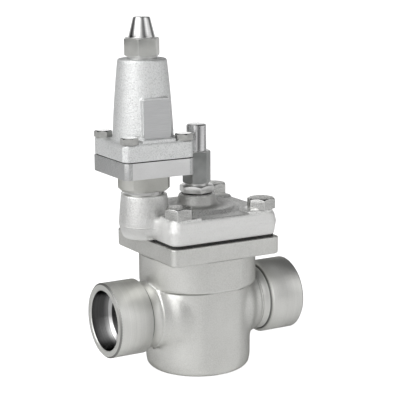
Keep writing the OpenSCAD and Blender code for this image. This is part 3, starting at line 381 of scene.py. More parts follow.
# painted lines, a painted shadow under each lip and a painted highlight along it: lowest, highest, strength
# and tone
LIP_SHADOWS_AND_HIGHLIGHTS = ((0.0989, 0.0998, 0.75, (0.22, 0.22, 0.21)), (0.1000, 0.1008, 0.80, (0.97, 0.97, 0.96)),
              (0.0712, 0.0727, 0.72, (0.20, 0.20, 0.19)), (0.0736, 0.0748, 0.60, (0.97, 0.97, 0.96)))
forged_look, tree, bsdf, place = steel_look("blasted_forging")
grain = place_group(tree, blasted_grain, place, **{"Grain": 1100.0, "Tone Scale": 38.0})
from_pipe, where = distance_node(tree, place, centre_z=PIPE_Z)
marks = place_group(tree, lathe_rings, place, **{"Along X": 1.0, "Centre Z": PIPE_Z, "Pitch": 0.0005})
along = math_node(tree, "ABSOLUTE", where.outputs["X"])
turned = all_of(tree, ramp_node(tree, from_pipe, NECK_R, NECK_R - 0.0002, 0, 1),
                ramp_node(tree, along, NECK_START, NECK_START + 0.0002, 0, 1))
tone = mix_node(tree, grain.outputs["Tone"], (0.71, 0.71, 0.683), (0.81, 0.81, 0.783))
tone = mix_node(tree, ramp_node(tree, grain.outputs["Speck"], 0, 1, 0, 0.6), tone, (0.88, 0.88, 0.86))
# worn bright edges, and painted shade in the creases
tone = edge_tones(tree, tone, (0.94, 0.94, 0.93), (0.28, 0.28, 0.27))
bsdf.inputs["Specular Tint"].default_value = (0.30, 0.30, 0.29, 1)
for low, high, amount, colour in LIP_SHADOWS_AND_HIGHLIGHTS:
    middle, half = (low + high) / 2, (high - low) / 2
    off = math_node(tree, "ABSOLUTE", math_node(tree, "SUBTRACT", where.outputs["Z"], middle))
    line = all_of(tree, ramp_node(tree, off, half, half * 0.4, 0, amount),
                  ramp_node(tree, grain.outputs["Tone"], 0, 0.5, 0.55, 1))
    if high < UNDER_FLANGE:
        line = all_of(tree, line, ramp_node(tree, along, 0.0385, 0.0425, 1, 0))
    tone = mix_node(tree, line, tone, colour)
tree.links.new(tone, bsdf.inputs["Base Color"])
tree.links.new(ramp_node(tree, grain.outputs["Speck"], 0, 1, 0.50, 0.38), bsdf.inputs["Roughness"])
blast = math_node(tree, "MULTIPLY", grain.outputs["Height"], ramp_node(tree, turned, 0, 1, 1, 0.15))
height = math_node(tree, "MULTIPLY_ADD", marks.outputs["Height"], ramp_node(tree, turned, 0, 1, 0, 0.2), blast)
tree.links.new(bump_node(tree, height, 0.8, 0.00026), bsdf.inputs["Normal"])


def cut_flat(mesh, point, outward):
    """Cuts away what lies beyond a plane and closes the cut."""
    cut = bmesh.ops.bisect_plane(
        mesh, geom=mesh.verts[:] + mesh.edges[:] + mesh.faces[:], dist=1e-7, plane_co=point,
        plane_no=outward, clear_outer=True)
    rim = [e for e in cut["geom_cut"] if isinstance(e, bmesh.types.BMEdge)]
    if rim:
        bmesh.ops.triangle_fill(mesh, edges=rim, use_beauty=True)


def join_in(mesh, other):
    """Adds another bmesh's faces to this one and frees it."""
    kept = bpy.data.meshes.new("joined")
    other.to_mesh(kept)
    other.free()
    mesh.from_mesh(kept)


forging = packed_copy("valve_body")
for end in (-1, 1):
    cut_flat(forging, (end * NECK_CUT, 0, 0), (end, 0, 0))
for end in (-1, 1):
    flange_end = packed_copy("valve_body")
    cut_flat(flange_end, (end * (NECK_CUT - 0.003), 0, 0), (-end, 0, 0))
    cut_flat(flange_end, (0, 0, UNDER_FLANGE), (0, 0, -1))
    join_in(forging, flange_end)
bmesh.ops.recalc_face_normals(forging, faces=forging.faces)


SKIN_GRAIN = 0.0007
FLANGE_FROM, BLEND_LOW, BLEND_HIGH, CUP_R = 0.0965, 0.004, 0.0705, 0.0425


def forging_rounds(p):
    """None on the turned necks, one or two on flange, ring and chambers, most where a hub meets the cup."""
    if abs(p.x) > NECK_START - 0.0010 and math.hypot(p.y, p.z - PIPE_Z) < NECK_R + 0.0007:
        return 0
    if p.z > FLANGE_FROM:
        return 1
    beside_hub = abs(p.x) > 0.010 and abs(p.y) > 0.012 and math.hypot(p.x, p.y) > CUP_R
    return 90 if beside_hub and BLEND_LOW < p.z < BLEND_HIGH else 2


forging = rounded_skin(forging, SKIN_GRAIN, forging_rounds, 195000)
new_piece("body_forging", forging, forged_look, "valve", "valve_body", slot="forged_body")

# Weld sockets: the two ends of the forging, turned outside, bored for the pipe and chamfered. The
# bores are left as the boring tool cut them; they are painted dark as shade, darkest behind the pipe seat,
# with a painted highlight on the seat and near it.
PIPE_BORE, FLOW_BORE, PIPE_SEAT = 0.0244, 0.0190, 0.0720
SOCKET_R, SOCKET_END, NECK_END = 0.0310, 0.0880, 0.0563
turned_look, tree, bsdf, place = steel_look("turned_socket")
marks = place_group(tree, lathe_rings, place, **{"Along X": 1.0, "Centre Z": PIPE_Z, "Pitch": 0.0006})
grain = place_group(tree, blasted_grain, place, **{"Grain": 1300.0, "Tone Scale": 60.0})
from_pipe, where = distance_node(tree, place, centre_z=PIPE_Z)
along = math_node(tree, "ABSOLUTE", where.outputs["X"])
tone = mix_node(tree, marks.outputs["Tone"], (0.79, 0.79, 0.762), (0.88, 0.88, 0.85))
tone = mix_node(tree, ramp_node(tree, grain.outputs["Speck"], 0, 1, 0, 0.4), tone, (0.94, 0.94, 0.92))
bsdf.inputs["Specular Tint"].default_value = (0.20, 0.20, 0.195, 1)
bore = ramp_node(tree, from_pipe, PIPE_BORE + 0.0006, PIPE_BORE + 0.0002, 0, 1)
behind_seat = ramp_node(tree, along, PIPE_SEAT - 0.0002, PIPE_SEAT - 0.0008, 0, 1)
near_seat = ramp_node(tree, along, PIPE_SEAT + 0.0052, PIPE_SEAT + 0.0006, 0, 0.8)
seat = all_of(tree, ramp_node(tree, along, PIPE_SEAT + 0.0003, PIPE_SEAT + 0.0001, 0, 1),
              ramp_node(tree, along, PIPE_SEAT - 0.0004, PIPE_SEAT - 0.0002, 0, 1),
              ramp_node(tree, from_pipe, FLOW_BORE - 0.0004, FLOW_BORE, 0, 1))
# the bore's tone is painted shade, darker behind the seat, with painted highlights near the seat and on it
bore_shade_and_highlight = mix_node(tree, marks.outputs["Tone"], (0.045, 0.045, 0.045), (0.10, 0.10, 0.10))
bore_shade_and_highlight = mix_node(tree, near_seat, bore_shade_and_highlight, (0.26, 0.26, 0.26))
bore_shade_and_highlight = mix_node(tree, behind_seat, bore_shade_and_highlight, (0.03, 0.03, 0.03))
bore_shade_and_highlight = mix_node(tree, seat, bore_shade_and_highlight, (0.55, 0.55, 0.55))
tone = mix_node(tree, bore, tone, bore_shade_and_highlight)
# painted shade on the outer weld bevel
weld_bevel = all_of(tree, ramp_node(tree, from_pipe, SOCKET_R - 0.0015, SOCKET_R - 0.0013, 0, 1),
                    ramp_node(tree, from_pipe, SOCKET_R, SOCKET_R - 0.00005, 0, 1),
                    ramp_node(tree, along, SOCKET_END - 0.0018, SOCKET_END - 0.0016, 0, 1))
tone = mix_node(tree, weld_bevel, tone, (0.32, 0.32, 0.31))
# painted shadow in the corner behind each socket's rim
past_neck = math_node(tree, "SUBTRACT", ramp_node(tree, along, NECK_END - 0.0007, NECK_END - 0.0002, 0, 1),
                      ramp_node(tree, along, NECK_END + 0.0004, NECK_END + 0.0011, 0, 1))
rim_shadow = all_of(tree, ramp_node(tree, from_pipe, SOCKET_R - 0.0003, SOCKET_R - 0.0006, 0, 1), past_neck)
tree.links.new(mix_node(tree, rim_shadow, tone, (0.20, 0.20, 0.195)), bsdf.inputs["Base Color"])
rough = ramp_node(tree, marks.outputs["Tone"], 0, 1, 0.52, 0.42)
tree.links.new(math_node(tree, "MULTIPLY_ADD", bore, -0.32, rough), bsdf.inputs["Roughness"])
height = math_node(tree, "MULTIPLY_ADD", grain.outputs["Height"], 0.5, marks.outputs["Height"])
tree.links.new(bump_node(tree, height, 0.5, 0.00012), bsdf.inputs["Normal"])

sockets = bmesh.new()
for end in (-1, 1):
    one_end = packed_copy("valve_body")
    cut_flat(one_end, (end * NECK_CUT, 0, 0), (-end, 0, 0))
    cut_flat(one_end, (0, 0, UNDER_FLANGE), (0, 0, 1))
    join_in(sockets, one_end)
bmesh.ops.recalc_face_normals(sockets, faces=sockets.faces)
sockets_piece = new_piece("weld_sockets", sockets, turned_look, "valve", "valve_body", slot="forged_body")
sockets_piece.data.shade_smooth()
SHARP_FROM = math.radians(28)
sockets_piece.data.set_sharp_from_angle(angle=SHARP_FROM)

# Inner works: the function module, servo piston, throttle cone and their small pieces are turned from
# bar and dropped in from above, so they keep the lathe's rings.
smooth_group = bpy.data.node_groups.new("smooth_faces", "GeometryNodeTree")
smooth_group.interface.new_socket("Geometry", in_out="INPUT", socket_type="NodeSocketGeometry")
smooth_group.interface.new_socket("Geometry", in_out="OUTPUT", socket_type="NodeSocketGeometry")
new_node, new_link = smooth_group.nodes.new, smooth_group.links.new
group_in, group_out = new_node("NodeGroupInput"), new_node("NodeGroupOutput")
angle = new_node("GeometryNodeInputMeshEdgeAngle")
sharp = new_node("FunctionNodeCompare")
sharp.operation = "GREATER_THAN"
sharp.inputs[1].default_value = SHARP_FROM
all_smooth = new_node("GeometryNodeSetShadeSmooth")
edges_sharp = new_node("GeometryNodeSetShadeSmooth")
edges_sharp.domain = "EDGE"
edges_sharp.inputs["Shade Smooth"].default_value = False
new_link(angle.outputs["Unsigned Angle"], sharp.inputs[0])
new_link(group_in.outputs[0], all_smooth.inputs["Geometry"])
new_link(all_smooth.outputs[0], edges_sharp.inputs["Geometry"])
new_link(sharp.outputs[0], edges_sharp.inputs["Selection"])
new_link(edges_sharp.outputs[0], group_out.inputs[0])


def finish_packed(node, look, edge=0.0, edge_look=None):
    """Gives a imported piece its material, joined faces and lightly broken edges, worn bright if asked."""
    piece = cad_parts[node]
    piece.data.materials.clear()
    piece.data.materials.append(look)
    weld = piece.modifiers.new("join", "WELD")
    weld.merge_threshold = 1e-6
    if edge:
        flat = piece.modifiers.new("flat", "DECIMATE")
        flat.decimate_type, flat.angle_limit = "DISSOLVE", math.radians(0.6)
        broken = piece.modifiers.new("edge", "BEVEL")
        broken.width, broken.segments, broken.limit_method = edge, 2, "ANGLE"
        broken.angle_limit = SHARP_FROM
        if edge_look:
            piece.data.materials.append(edge_look)
            broken.material = 1
    smooth = piece.modifiers.new("smooth", "NODES")
    smooth.node_group = smooth_group


def turned_steel(name, centre_x, dark, light, smooth, coarse, pitch=0.0004, stain=0.35):
    """Steel turned about an upright axis: its two tones, roughness range, ring pitch and clouding."""
    look, tree, bsdf, place = steel_look(name)
    marks = place_group(tree, lathe_rings, place, **{"Centre X": centre_x, "Pitch": pitch})
    grain = place_group(tree, blasted_grain, place, **{"Grain": 1800.0, "Tone Scale": 90.0})
    tone = mix_node(tree, marks.outputs["Tone"], dark, light)
    tone = mix_node(tree, ramp_node(tree, grain.outputs["Tone"], 0, 1, 0, stain), tone,
                    tuple(0.8 * c for c in dark))
    tree.links.new(tone, bsdf.inputs["Base Color"])
    rough = math_node(tree, "MULTIPLY_ADD", grain.outputs["Speck"], 0.4,
                      math_node(tree, "MULTIPLY", marks.outputs["Tone"], 0.6))
    tree.links.new(ramp_node(tree, rough, 0, 1, smooth, coarse), bsdf.inputs["Roughness"])
    tree.links.new(bump_node(tree, marks.outputs["Height"], 0.4, 0.00005), bsdf.inputs["Normal"])
    return look, tree, bsdf, place


BAR_TONES, BAR_ROUGH = ((0.56, 0.56, 0.55), (0.68, 0.68, 0.67)), (0.26, 0.42)
inner_look, *_ = turned_steel("turned_bar", 0.0, *BAR_TONES, *BAR_ROUGH)
for node in ("function_module", "servo_piston", "throttle_cone", "seat_retainer", "spring_support", "rod_nut",
             "cone_nut"):
    finish_packed(node, inner_look)

# Piston rod, manual spindle, adjusting screw, orifice and plug: stainless bar, ground bright where it
# slides and threaded where it screws.
PILOT_X = -0.0495
GROUND_TONES, GROUND_ROUGH = ((0.66, 0.66, 0.66), (0.76, 0.76, 0.76)), (0.12, 0.24)
ground_look, *_ = turned_steel("ground_bar", 0.0, *GROUND_TONES, *GROUND_ROUGH, 0.0002)
for node in ("piston_rod", "manual_spindle"):
    finish_packed(node, ground_look)
pilot_ground_look, *_ = turned_steel("ground_pilot_bar", PILOT_X, *GROUND_TONES, *GROUND_ROUGH, 0.0002)
for node in ("adjusting_screw", "pilot_orifice", "pilot_plug"):
    finish_packed(node, pilot_ground_look)
pilot_inner_look, *_ = turned_steel("turned_pilot_bar", PILOT_X, *BAR_TONES, *BAR_ROUGH)
for node in ("pressure_pad", "spring_seat"):
    finish_packed(node, pilot_inner_look)

# Springs: hard-drawn wire, coiled cold, ground flat at the ends and left with a film of oil.
def grained_look(name, metallic, grains, clouds, dark, light, dull, smooth, strength, depth):
    """A plain grained material: its two tones, its roughness in the hollows and on the peaks, its bump."""
    look, tree, bsdf, place = steel_look(name)
    bsdf.inputs["Metallic"].default_value = metallic
    grain = place_group(tree, blasted_grain, place, **{"Grain": grains, "Tone Scale": clouds})
    tree.links.new(mix_node(tree, grain.outputs["Tone"], dark, light), bsdf.inputs["Base Color"])
    tree.links.new(ramp_node(tree, grain.outputs["Speck"], 0, 1, dull, smooth), bsdf.inputs["Roughness"])
    tree.links.new(bump_node(tree, grain.outputs["Height"], strength, depth), bsdf.inputs["Normal"])
    return look, bsdf


wire_look, bsdf = grained_look("oiled_wire", 1.0, 1500.0, 120.0, (0.20, 0.20, 0.21), (0.34, 0.34, 0.35),
                               0.45, 0.28, 0.2, 0.00004)
bsdf.inputs["Coat Weight"].default_value = 0.3
for node in ("main_spring", "setting_spring", "pilot_lifting_spring"):
    finish_packed(node, wire_look)

# O-rings: black moulded rubber, dull, with a thin bloom of grease.
rubber_look, _ = grained_look("black_rubber", 0.0, 1600.0, 130.0, (0.012, 0.012, 0.012), (0.035, 0.035, 0.036),
                              0.62, 0.44, 0.2, 0.00003)
for node in ("module_upper_oring", "module_lower_oring", "spindle_oring", "stem_oring", "screw_oring"):
    finish_packed(node, rubber_look)

# Seat ring and piston ring: white PTFE turned from tube, waxy, faintly ringed by the tool.
wax_look, tree, bsdf, place = steel_look("white_ptfe")
bsdf.inputs["Metallic"].default_value = 0.0
marks = place_group(tree, lathe_rings, place, **{"Pitch": 0.0004})
tree.links.new(mix_node(tree, marks.outputs["Tone"], (0.80, 0.80, 0.77), (0.90, 0.90, 0.88)),
               bsdf.inputs["Base Color"])
tree.links.new(ramp_node(tree, marks.outputs["Tone"], 0, 1, 0.42, 0.30), bsdf.inputs["Roughness"])
tree.links.new(bump_node(tree, marks.outputs["Height"], 0.25, 0.00003), bsdf.inputs["Normal"])
bsdf.inputs["Subsurface Weight"].default_value = 0.1
bsdf.inputs["Subsurface Radius"].default_value = (0.001, 0.001, 0.001)
for node in ("seat_ring", "piston_ring"):
    finish_packed(node, wax_look)

# Cover gasket, gland gasket and diaphragm edge: dark fibre sheet, cut to shape and squeezed between
# the machined faces.
sheet_look, _ = grained_look("fibre_sheet", 0.0, 1200.0, 160.0, (0.010, 0.010, 0.010), (0.035, 0.034, 0.032),
                             0.85, 0.65, 0.4, 0.00008)
for node in ("cover_gasket", "gland_gasket", "diaphragm"):
    finish_packed(node, sheet_look)

# Top cover: an investment casting with a drafted rim, a dished crown and the pilot's boss, blasted
# bright. Its bolt pads and boss faces are milled, and a fine parting line runs round its side.
COVER_UNDER, PARTING, COVER_TOP, PAD_TOP, BOSS_TOP = 0.1175, 0.1274, 0.1360, 0.1378, 0.1532
BOLT_PLACE, BOLT_HOLE, CENTRE_BORE, PILOT_BORE = 0.0388, 0.0085, 0.0102, 0.0133


def stretched(tree, place, scale):
    """The place seen through a scale, so that a pattern read from it is drawn out one way."""
    mapping = tree.nodes.new("ShaderNodeMapping")
    mapping.inputs["Scale"].default_value = scale
    tree.links.new(place, mapping.inputs["Vector"])
    return mapping.outputs[0]


cast_look, tree, bsdf, place = steel_look("bright_casting")
grain = place_group(tree, blasted_grain, place, **{"Grain": 900.0, "Tone Scale": 55.0})
from_axis, where = distance_node(tree, place)
height_up = where.outputs["Z"]
from_pilot, _ = distance_node(tree, place, centre_x=PILOT_X)
mirrored = tree.nodes.new("ShaderNodeCombineXYZ")
for axis in ("X", "Y"):
    tree.links.new(math_node(tree, "ABSOLUTE", where.outputs[axis]), mirrored.inputs[axis])
from_bolt = tree.nodes.new("ShaderNodeVectorMath")
from_bolt.operation = "DISTANCE"
from_bolt.inputs[1].default_value = (BOLT_PLACE, BOLT_PLACE, 0)
tree.links.new(mirrored.outputs[0], from_bolt.inputs[0])
pad = all_of(tree, ramp_node(tree, from_bolt.outputs["Value"], 0.0138, 0.0134, 0, 1),
             ramp_node(tree, height_up, PAD_TOP - 0.0007, PAD_TOP - 0.0003, 0, 1))
boss_faces = ramp_node(tree, height_up, BOSS_TOP - 0.0006, BOSS_TOP - 0.0002, 0, 1)
milled = math_node(tree, "MAXIMUM", pad, boss_faces)
below = math_node(tree, "MAXIMUM", math_node(tree, "SUBTRACT", 0.1300, height_up), 0.0)
side = all_of(tree, ramp_node(tree, height_up, COVER_TOP + 0.0002, COVER_TOP - 0.0010, 0, 1),
              ramp_node(tree, math_node(tree, "ADD", from_pilot, below), 0.0205, 0.0225, 0, 1))
streaks = place_group(tree, blasted_grain, stretched(tree, place, (0.06, 0.06, 1.0)),
                      **{"Grain": 700.0, "Tone Scale": 500.0})
speck = all_of(tree, ramp_node(tree, grain.outputs["Speck"], 0, 0.5, 0.6, 0),
               ramp_node(tree, side, 0, 1, 1, 0.2))
tone = mix_node(tree, grain.outputs["Tone"], (0.94, 0.94, 0.925), (0.985, 0.985, 0.975))
tone = mix_node(tree, all_of(tree, streaks.outputs["Tone"], side), tone, (0.95, 0.95, 0.94))
tone = mix_node(tree, speck, tone, (0.62, 0.62, 0.61))
# the web beside the pilot's boss is painted darker as painted shade, and the top is livelier than the side
pilot_web_shade = all_of(tree, ramp_node(tree, from_pilot, 0.0340, 0.0240, 0, 0.55),
                    ramp_node(tree, from_pilot, 0.0180, 0.0200, 0, 1))
tone = mix_node(tree, pilot_web_shade, tone, (0.66, 0.66, 0.65))
on_top = all_of(tree, ramp_node(tree, height_up, COVER_TOP - 0.0020, COVER_TOP + 0.0006, 0, 1),
                ramp_node(tree, from_pilot, 0.0195, 0.0215, 0, 1))


def mottled(tree, where_on, speck, tone, peaks, hollows):
    """A tone with spots where a speck pattern peaks and dips: each its two speck levels, strength and tone."""
    for start, full, amount, colour in (peaks, hollows):
        spots = all_of(tree, where_on, ramp_node(tree, speck, start, full, 0, amount))
        tone = mix_node(tree, spots, tone, colour)
    return tone


sparks = place_group(tree, blasted_grain, place, **{"Grain": 620.0, "Tone Scale": 150.0})
tone = mottled(tree, on_top, sparks.outputs["Speck"], tone,
               (0.50, 0.80, 0.5, (1.0, 1.0, 0.99)), (0.45, 0.15, 0.5, (0.50, 0.50, 0.49)))
# painted shade round the centre boss, below the top
centre_boss_shade = all_of(tree, ramp_node(tree, from_axis, 0.0265, 0.0215, 0, 1),
                      ramp_node(tree, height_up, 0.1475, 0.1465, 0, 1))
tone = mix_node(tree, centre_boss_shade, tone,
                mix_node(tree, grain.outputs["Tone"], (0.52, 0.52, 0.505), (0.70, 0.70, 0.685)))
# worn bright edges, and painted shade in the creases
tone = edge_tones(tree, tone, (0.97, 0.97, 0.965), (0.34, 0.34, 0.33))
tree.links.new(mix_node(tree, milled, tone, (0.88, 0.88, 0.87)), bsdf.inputs["Base Color"])
skin_rough = math_node(tree, "MULTIPLY_ADD", side, 0.10,
                       ramp_node(tree, grain.outputs["Speck"], 0, 1, 0.58, 0.46))
tree.links.new(math_node(tree, "MULTIPLY_ADD", milled, -0.18, skin_rough), bsdf.inputs["Roughness"])
off_parting = math_node(tree, "ABSOLUTE", math_node(tree, "SUBTRACT", height_up, PARTING))
parting = all_of(tree, ramp_node(tree, off_parting, 0.0, 0.0005, 1.0, 0),
                 ramp_node(tree, from_pilot, 0.021, 0.025, 0.9, 0.22))
rind = all_of(tree, grain.outputs["Height"], ramp_node(tree, milled, 0, 1, 1, 0.1))
tree.links.new(bump_node(tree, math_node(tree, "ADD", parting, rind), 0.9, 0.00042), bsdf.inputs["Normal"])


def cover_rounds(p):
    """None in a bore or on the underside, one on milled faces, most where the pilot's boss meets the side."""
    centre, pilot = math.hypot(p.x, p.y), math.hypot(p.x - PILOT_X, p.y)
    bolt = math.hypot(abs(p.x) - BOLT_PLACE, abs(p.y) - BOLT_PLACE)
    if p.z < COVER_UNDER or centre < CENTRE_BORE or pilot < PILOT_BORE or bolt < BOLT_HOLE:
        return 0
    if p.z > BOSS_TOP - 0.0012 or bolt < 0.0145 and p.z > PAD_TOP - 0.0012:
        return 1
    boss_root = pilot > 0.0175 and p.x < -0.042 and abs(p.y) < 0.040 and p.z < COVER_TOP + 0.0010
    return 70 if boss_root else 4


cover = rounded_skin(packed_copy("top_cover"), SKIN_GRAIN, cover_rounds, 190000)
new_piece("cover_casting", cover, cast_look, "valve", "top_cover", slot="cast_cover")

# Cover bolts and bonnet screws: cold-formed stainless hexagon heads, turned down into the flanges.
# The flats keep the die's fine drag lines and the corners are rubbed bright by the spanner.
bolt_look, tree, bsdf, place = steel_look("formed_bolt")
bsdf.inputs["Specular Tint"].default_value = (0.80, 0.80, 0.79, 1)
drag = place_group(tree, blasted_grain, stretched(tree, place, (0.12, 0.12, 1.6)),
                   **{"Grain": 1000.0, "Tone Scale": 300.0})
grain = place_group(tree, blasted_grain, place, **{"Grain": 1300.0, "Tone Scale": 140.0})
tone = mix_node(tree, grain.outputs["Tone"], (0.44, 0.44, 0.43), (0.64, 0.64, 0.625))
tone = mix_node(tree, ramp_node(tree, drag.outputs["Speck"], 0, 1, 0, 0.6), tone, (0.74, 0.74, 0.725))


def facing_up(tree):
    """How far a face looks up: 1 on a flat top, 0 on an upright side."""
    return split_place(tree, tree.nodes.new("ShaderNodeNewGeometry").outputs["True Normal"]).outputs["Z"]


top = ramp_node(tree, facing_up(tree), 0.8, 0.9, 0, 1)
tone = mix_node(tree, math_node(tree, "MULTIPLY", top, 0.5), tone, (0.34, 0.34, 0.335))
mottle = place_group(tree, blasted_grain, place, **{"Grain": 520.0, "Tone Scale": 200.0})
tone = mottled(tree, top, mottle.outputs["Speck"], tone,
               (0.50, 0.85, 0.55, (0.90, 0.90, 0.89)), (0.52, 0.15, 0.7, (0.24, 0.24, 0.235)))
tree.links.new(tone, bsdf.inputs["Base Color"])
tree.links.new(ramp_node(tree, grain.outputs["Speck"], 0, 1, 0.36, 0.20), bsdf.inputs["Roughness"])
height = math_node(tree, "ADD", drag.outputs["Height"], grain.outputs["Height"])
tree.links.new(bump_node(tree, height, 0.6, 0.00018), bsdf.inputs["Normal"])
rubbed_look, tree, bsdf, place = steel_look("rubbed_edge")
grain = place_group(tree, blasted_grain, place, **{"Grain": 1600.0, "Tone Scale": 200.0})
tree.links.new(mix_node(tree, grain.outputs["Tone"], (0.80, 0.80, 0.79), (0.92, 0.92, 0.91)),
               bsdf.inputs["Base Color"])
tree.links.new(ramp_node(tree, grain.outputs["Speck"], 0, 1, 0.40, 0.28), bsdf.inputs["Roughness"])
finish_packed("cover_bolts", bolt_look, 0.00022, rubbed_look)
screw_look, tree, bsdf, place = steel_look("bright_screw")
grain = place_group(tree, blasted_grain, place, **{"Grain": 1500.0, "Tone Scale": 180.0})
slope = facing_up(tree)
tone = mix_node(tree, grain.outputs["Tone"], (0.44, 0.44, 0.43), (0.60, 0.60, 0.58))
tone = mix_node(tree, ramp_node(tree, slope, 0.35, 0.45, 0, 1), tone, (0.30, 0.30, 0.295))
tone = mix_node(tree, ramp_node(tree, slope, 0.94, 0.97, 0, 1), tone, (0.96, 0.96, 0.95))
tree.links.new(tone, bsdf.inputs["Base Color"])
tree.links.new(ramp_node(tree, grain.outputs["Tone"], 0, 1, 0.26, 0.16), bsdf.inputs["Roughness"])
tree.links.new(bump_node(tree, grain.outputs["Height"], 0.4, 0.00005), bsdf.inputs["Normal"])
finish_packed("bonnet_screws", screw_look)

# Gland nut: hexagon bar turned and threaded, screwed into the centre boss to hold the spindle's seal.
# Its neck carries the thread that the seal cap screws onto.
CAP_PITCH = 0.0015
nut_look, tree, bsdf, place = turned_steel(
    "gland_hexagon", 0.0, (0.68, 0.68, 0.67), (0.80, 0.80, 0.79), 0.24, 0.38)
from_axis, _ = distance_node(tree, place)
on_neck = ramp_node(tree, from_axis, 0.0079, 0.0077, 0, 1)
thread = place_group(tree, screw_thread, place, **{"Pitch": CAP_PITCH})
cut_thread = all_of(tree, thread.outputs["Height"], on_neck)
tree.links.new(bump_node(tree, cut_thread, 1.0, 0.0008), bsdf.inputs["Normal"])
finish_packed("gland_nut", nut_look, 0.0002, rubbed_look)

# Spindle seal cap and its gasket: hexagon bar with satin flats and a round top turned and polished,
# closed over the manual spindle.
def satin_hexagon(name, centre_x, polish, top, dark, light, satin):
    """Polished turned steel with a satin hexagon below that height, its turned chamfer painted bright as a
    painted highlight.
    """
    look, tree, bsdf, place = turned_steel(name, centre_x, *polish, 0.0006, 0.1)
    polished, smooth = (bsdf.inputs[label].links[0].from_socket for label in ("Base Color", "Roughness"))
    hexagon = ramp_node(tree, split_place(tree, place).outputs["Z"], top + 0.0003, top - 0.0003, 0, 1)
    flats = place_group(tree, blasted_grain, place, **{"Grain": 1500.0, "Tone Scale": 110.0})
    lean = math_node(tree, "ABSOLUTE", facing_up(tree))
    chamfer = all_of(tree, ramp_node(tree, lean, 0.35, 0.45, 0, 1),
                     ramp_node(tree, lean, 0.97, 0.93, 0, 1), hexagon)
    tone = mix_node(tree, hexagon, polished, mix_node(tree, flats.outputs["Tone"], dark, light))
    # painted highlight on the chamfer
    tree.links.new(mix_node(tree, chamfer, tone, (0.97, 0.97, 0.96)), bsdf.inputs["Base Color"])
    rough = math_node(tree, "MULTIPLY_ADD", hexagon, satin, smooth)
    tree.links.new(math_node(tree, "MULTIPLY_ADD", chamfer, 0.25, rough), bsdf.inputs["Roughness"])
    return look


SPINDLE_SHOULDER = 0.1838
SPINDLE_POLISH = (0.66, 0.66, 0.665), (0.72, 0.72, 0.725), 0.16, 0.21
# the hexagon's flats are painted dark, as a painted reflection of the shaded pilot beside the cap
cap_look = satin_hexagon("spindle_cap_steel", 0.0, SPINDLE_POLISH, SPINDLE_SHOULDER,
                         (0.31, 0.32, 0.315), (0.42, 0.43, 0.425), 0.22)
finish_packed("spindle_cap", cap_look, 0.0004, rubbed_look)
ring_look, *_ = turned_steel("bright_ring", 0.0, (0.80, 0.80, 0.80), (0.90, 0.90, 0.90), 0.22, 0.34, 0.0003)
finish_packed("spindle_cap_gasket", ring_look)

# Pilot base: bar turned to a neck with spanner flats under a milled square plate, screwed into the
# cover's boss on a bright ring.
pilot_ring_look, *_ = turned_steel(
    "bright_pilot_ring", PILOT_X, (0.58, 0.58, 0.57), (0.74, 0.74, 0.73), 0.10, 0.18, 0.0003)
for node in ("pilot_neck_gasket", "pilot_cap_gasket"):
    finish_packed(node, pilot_ring_look)
milled_look, tree, bsdf, place = steel_look("milled_plate")
grain = place_group(tree, blasted_grain, place, **{"Grain": 1400.0, "Tone Scale": 60.0})
where = split_place(tree, place)
neck = ramp_node(tree, where.outputs["Z"], 0.1701, 0.1699, 0, 1)
tone = mix_node(tree, grain.outputs["Tone"], (0.85, 0.85, 0.85), (0.92, 0.92, 0.92))
tone = mix_node(tree, ramp_node(tree, grain.outputs["Speck"], 0, 1, 0, 0.3), tone, (0.92, 0.92, 0.92))
off_pilot = math_node(tree, "ABSOLUTE", math_node(tree, "SUBTRACT", where.outputs["X"], PILOT_X))
sawn = ramp_node(tree, off_pilot, 0.0252, 0.0255, 0, 1)
tone = mix_node(tree, sawn, tone,
                mix_node(tree, grain.outputs["Speck"], (0.53, 0.535, 0.535), (0.78, 0.785, 0.785)))
# the turned neck is painted darker, as painted shade under the plate
neck_shade_tone = mix_node(tree, grain.outputs["Tone"], (0.69, 0.69, 0.655), (0.79, 0.79, 0.755))
bsdf.inputs["Specular Tint"].default_value = (0.12, 0.12, 0.12, 1)
tree.links.new(mix_node(tree, neck, tone, neck_shade_tone), bsdf.inputs["Base Color"])
tree.links.new(ramp_node(tree, grain.outputs["Speck"], 0, 1, 0.60, 0.48), bsdf.inputs["Roughness"])
tree.links.new(bump_node(tree, grain.outputs["Height"], 0.6, 0.00016), bsdf.inputs["Normal"])
finish_packed("pilot_base", milled_look, 0.00022, rubbed_look)

# Pilot bonnet: a casting like the cover, with a square flange, a tapered spring tower and a flat land.
# The neck on its top is threaded for the conical seal cap.
bonnet_look, tree, bsdf, place = steel_look("bonnet_casting_steel")
grain = place_group(tree, blasted_grain, place, **{"Grain": 1150.0, "Tone Scale": 70.0})
tone = mix_node(tree, grain.outputs["Tone"], (0.94, 0.95, 0.948), (0.98, 0.99, 0.988))
tone = mix_node(tree, ramp_node(tree, grain.outputs["Speck"], 0, 0.55, 0.75, 0), tone, (0.66, 0.67, 0.665))
# worn bright edges, and painted shade in the creases
tone = edge_tones(tree, tone, (0.98, 0.98, 0.98), (0.32, 0.32, 0.32))
bsdf.inputs["Specular Tint"].default_value = (0.60, 0.60, 0.60, 1)
tree.links.new(tone, bsdf.inputs["Base Color"])
tree.links.new(ramp_node(tree, grain.outputs["Speck"], 0, 1, 0.60, 0.50), bsdf.inputs["Roughness"])
from_pilot, where = distance_node(tree, place, centre_x=PILOT_X)
on_neck = all_of(tree, ramp_node(tree, from_pilot, 0.0090, 0.0088, 0, 1),
                 ramp_node(tree, where.outputs["Z"], 0.2626, 0.2628, 0, 1))
thread = place_group(tree, screw_thread, place, **{"Centre X": PILOT_X, "Pitch": CAP_PITCH})
cut_thread = all_of(tree, thread.outputs["Height"], math_node(tree, "MULTIPLY", on_neck, 1.6))
rind = all_of(tree, grain.outputs["Height"], ramp_node(tree, on_neck, 0, 1, 1, 0.1))
